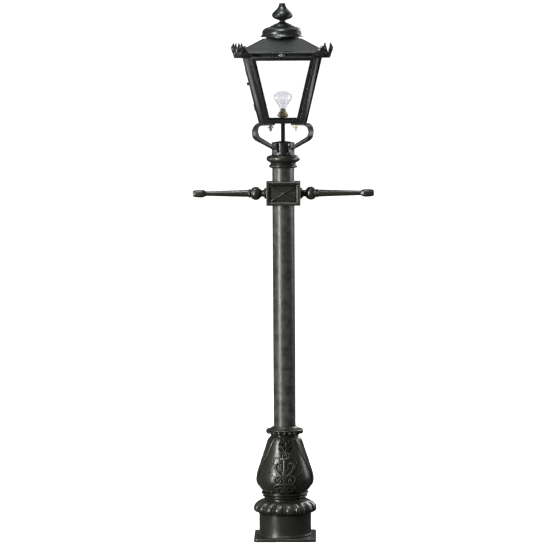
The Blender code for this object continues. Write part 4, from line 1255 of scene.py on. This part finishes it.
def dress_cad_nodes():
    dress_node("base_plate", IRON, 1.6, 3)
    dress_node("top_spigot", TUBE, 0.6)
    dress_node("terminal_block", TERMINAL, 0.6)
    dress_node("lamp_lead", CABLE)
    dress_node("base_tray", COAT, 0.6)
    for corner in CORNERS:
        dress_node("corner_post_" + corner, COAT, 0.7)
    for face in ("front", "right", "rear"):
        dress_node(face + "_frame", COAT, 0.7)
        dress_node(face + "_glass", PANE, 0.4, 1)
    dress_node("door_frame", COAT, 0.7)
    dress_node("door_glass", PANE, 0.4, 1)
    for which in ("lower", "upper"):
        dress_node("hinge_fixed_" + which, COAT, 0.25)
        dress_node("hinge_leaf_" + which, COAT, 0.25)
    dress_node("door_catch", BRASS, 0.4)
    dress_node("vent_collar", COAT, 0.3)
    dress_node("bulb_filament", WIRE)


# ---- stage, light and camera

FLOOR_GLOW = 1.1
BACKDROP_GLOW = 1.25
ROOM_GLOW = 0.11
SUN_POWER = 0.9
SUN_SPREAD = 40                # degrees


def stage_floor():
    reach = 150000
    sheet = [(x * reach, y * reach, 0) for x, y in SQUARE], [[0, 1, 2, 3]]
    floor_mesh = mesh_of("floor", sheet, smooth=False)
    material, tree, shader, place = new_material("pale_floor")
    tint = blended(tree, noise(tree, place, 3), (0.90, 0.90, 0.90), (0.93, 0.93, 0.93))
    tree.links.new(tint, shader.inputs["Base Color"])
    tree.links.new(tint, shader.inputs["Emission Color"])
    shader.inputs["Emission Strength"].default_value = FLOOR_GLOW
    shader.inputs["Roughness"].default_value = 0.9
    shader.inputs["Specular IOR Level"].default_value = 0.1
    floor_mesh.materials.append(material)
    floor = bpy.data.objects.new("floor", floor_mesh)
    bpy.context.scene.collection.objects.link(floor)
    floor.location.z = -0.0005
    floor.visible_glossy = False
    floor.visible_diffuse = False


def stage_backdrop():
    """A far white wall all round, seen by the camera and through glass but giving no light."""
    radius, low, high = 90000, -2000, 60000
    wall = turned([(radius, low), (radius, high), (radius + 100, high), (radius + 100, low)], 64)
    mesh = mesh_of("backdrop", wall)
    material = bpy.data.materials.new("white_backdrop")
    material.use_nodes = True
    tree = material.node_tree
    tree.nodes.remove(tree.nodes["Principled BSDF"])
    place = node(tree, "ShaderNodeTexCoord").outputs["Object"]
    tint = blended(tree, noise(tree, place, 0.01), (1, 1, 1), (1.02, 1.02, 1.02))
    glow = node(tree, "ShaderNodeEmission", {"Color": tint, "Strength": BACKDROP_GLOW})
    tree.links.new(glow.outputs[0], tree.nodes["Material Output"].inputs["Surface"])
    mesh.materials.append(material)
    backdrop = bpy.data.objects.new("backdrop", mesh)
    bpy.context.scene.collection.objects.link(backdrop)
    backdrop.visible_diffuse = False
    backdrop.visible_glossy = False
    backdrop.visible_shadow = False


def aim(item, target):
    direction = Vector(target) - item.location
    item.rotation_euler = direction.to_track_quat("-Z", "Y").to_euler()


def area_light(name, place, target, size, power):
    data = bpy.data.lights.new(name, "AREA")
    data.shape = "RECTANGLE"
    data.size, data.size_y = size
    data.energy = power
    lamp = bpy.data.objects.new(name, data)
    bpy.context.scene.collection.objects.link(lamp)
    lamp.location = place
    lamp.visible_camera = False
    aim(lamp, target)


# name, place, target and size in metres, and power in watts
LIGHT_PANELS = (
    ("key", (-3.6, -3.6, 1.95), (0, 0, 1.75), (0.6, 3.8), 430),
    ("top", (-0.5, -1.3, 5.6), (0, 0, 2), (1.2, 0.9), 110),
    ("sky", (0.3, 2.6, 5.4), (0, 0, 2), (4.5, 2.5), 28),
    ("back", (2.7, 4.2, 3.1), (0, 0, 1.3), (2, 3.2), 150),
    ("right", (4.9, 1.3, 2.2), (0, 0, 1.3), (1.2, 3.4), 70),
    ("left_stile", (-0.95, -0.05, 1.55), (-0.14, -0.14, 1.80), (0.35, 0.6), 3),
    ("right_stile", (0.95, -0.05, 1.55), (0.14, -0.14, 1.80), (0.35, 0.6), 3),
)


def lights():
    world = bpy.data.worlds.new("studio")
    bpy.context.scene.world = world
    world.use_nodes = True
    room = world.node_tree.nodes["Background"]
    room.inputs["Color"].default_value = (0.96, 0.98, 1, 1)
    room.inputs["Strength"].default_value = ROOM_GLOW
    sun = bpy.data.lights.new("overhead", "SUN")
    sun.energy = SUN_POWER
    sun.angle = math.radians(SUN_SPREAD)
    overhead = bpy.data.objects.new("overhead", sun)
    bpy.context.scene.collection.objects.link(overhead)
    overhead.location = (-1.5, -1.5, 8)
    aim(overhead, (0, 0, 0))
    for panel in LIGHT_PANELS:
        area_light(*panel)


CAMERA_DISTANCE = 11.6
CAMERA_HEIGHT = 1.97
CAMERA_PITCH = math.radians(4.563)
CAMERA_AZIMUTH = math.radians(0.8)
CAMERA_ROLL = math.radians(-0.33)
CAMERA_ASIDE = -0.0156
FOCAL_LENGTH = 186.2           # millimetres, for the default 36 mm sensor


def camera():
    data = bpy.data.cameras.new("camera")
    data.lens = FOCAL_LENGTH
    data.clip_end = 400
    item = bpy.data.objects.new("camera", data)
    bpy.context.scene.collection.objects.link(item)
    swing = Matrix.Rotation(CAMERA_AZIMUTH, 4, "Z")
    tilt = Matrix.Rotation(math.pi / 2 - CAMERA_PITCH, 4, "X")
    roll = Matrix.Rotation(CAMERA_ROLL, 4, "Z")
    place = Matrix.Translation((CAMERA_ASIDE, -CAMERA_DISTANCE, CAMERA_HEIGHT))
    item.matrix_world = swing @ place @ tilt @ roll
    bpy.context.scene.camera = item


def main():
    plinth()
    gadroon_ring()
    base_vase()
    beaded_collar()
    shaft()
    capital()
    ladder_boss()
    ladder_arm("ladder_arm_left", -1)
    ladder_arm("ladder_arm_right", 1)
    support_collar()
    conduit()
    for index in range(4):
        set_screw(index)
        support_bar(index)
        fixing_screw(index)
        corner_crest(index)
    eaves()
    roof()
    dome()
    finial()
    door_knob()
    tray_upstand()
    lamp_holder()
    lamp_cap()
    lamp_glass()
    dress_cad_nodes()
    stage_floor()
    stage_backdrop()
    lights()
    camera()
    bpy.context.scene.view_settings.view_transform = "Standard"


main()
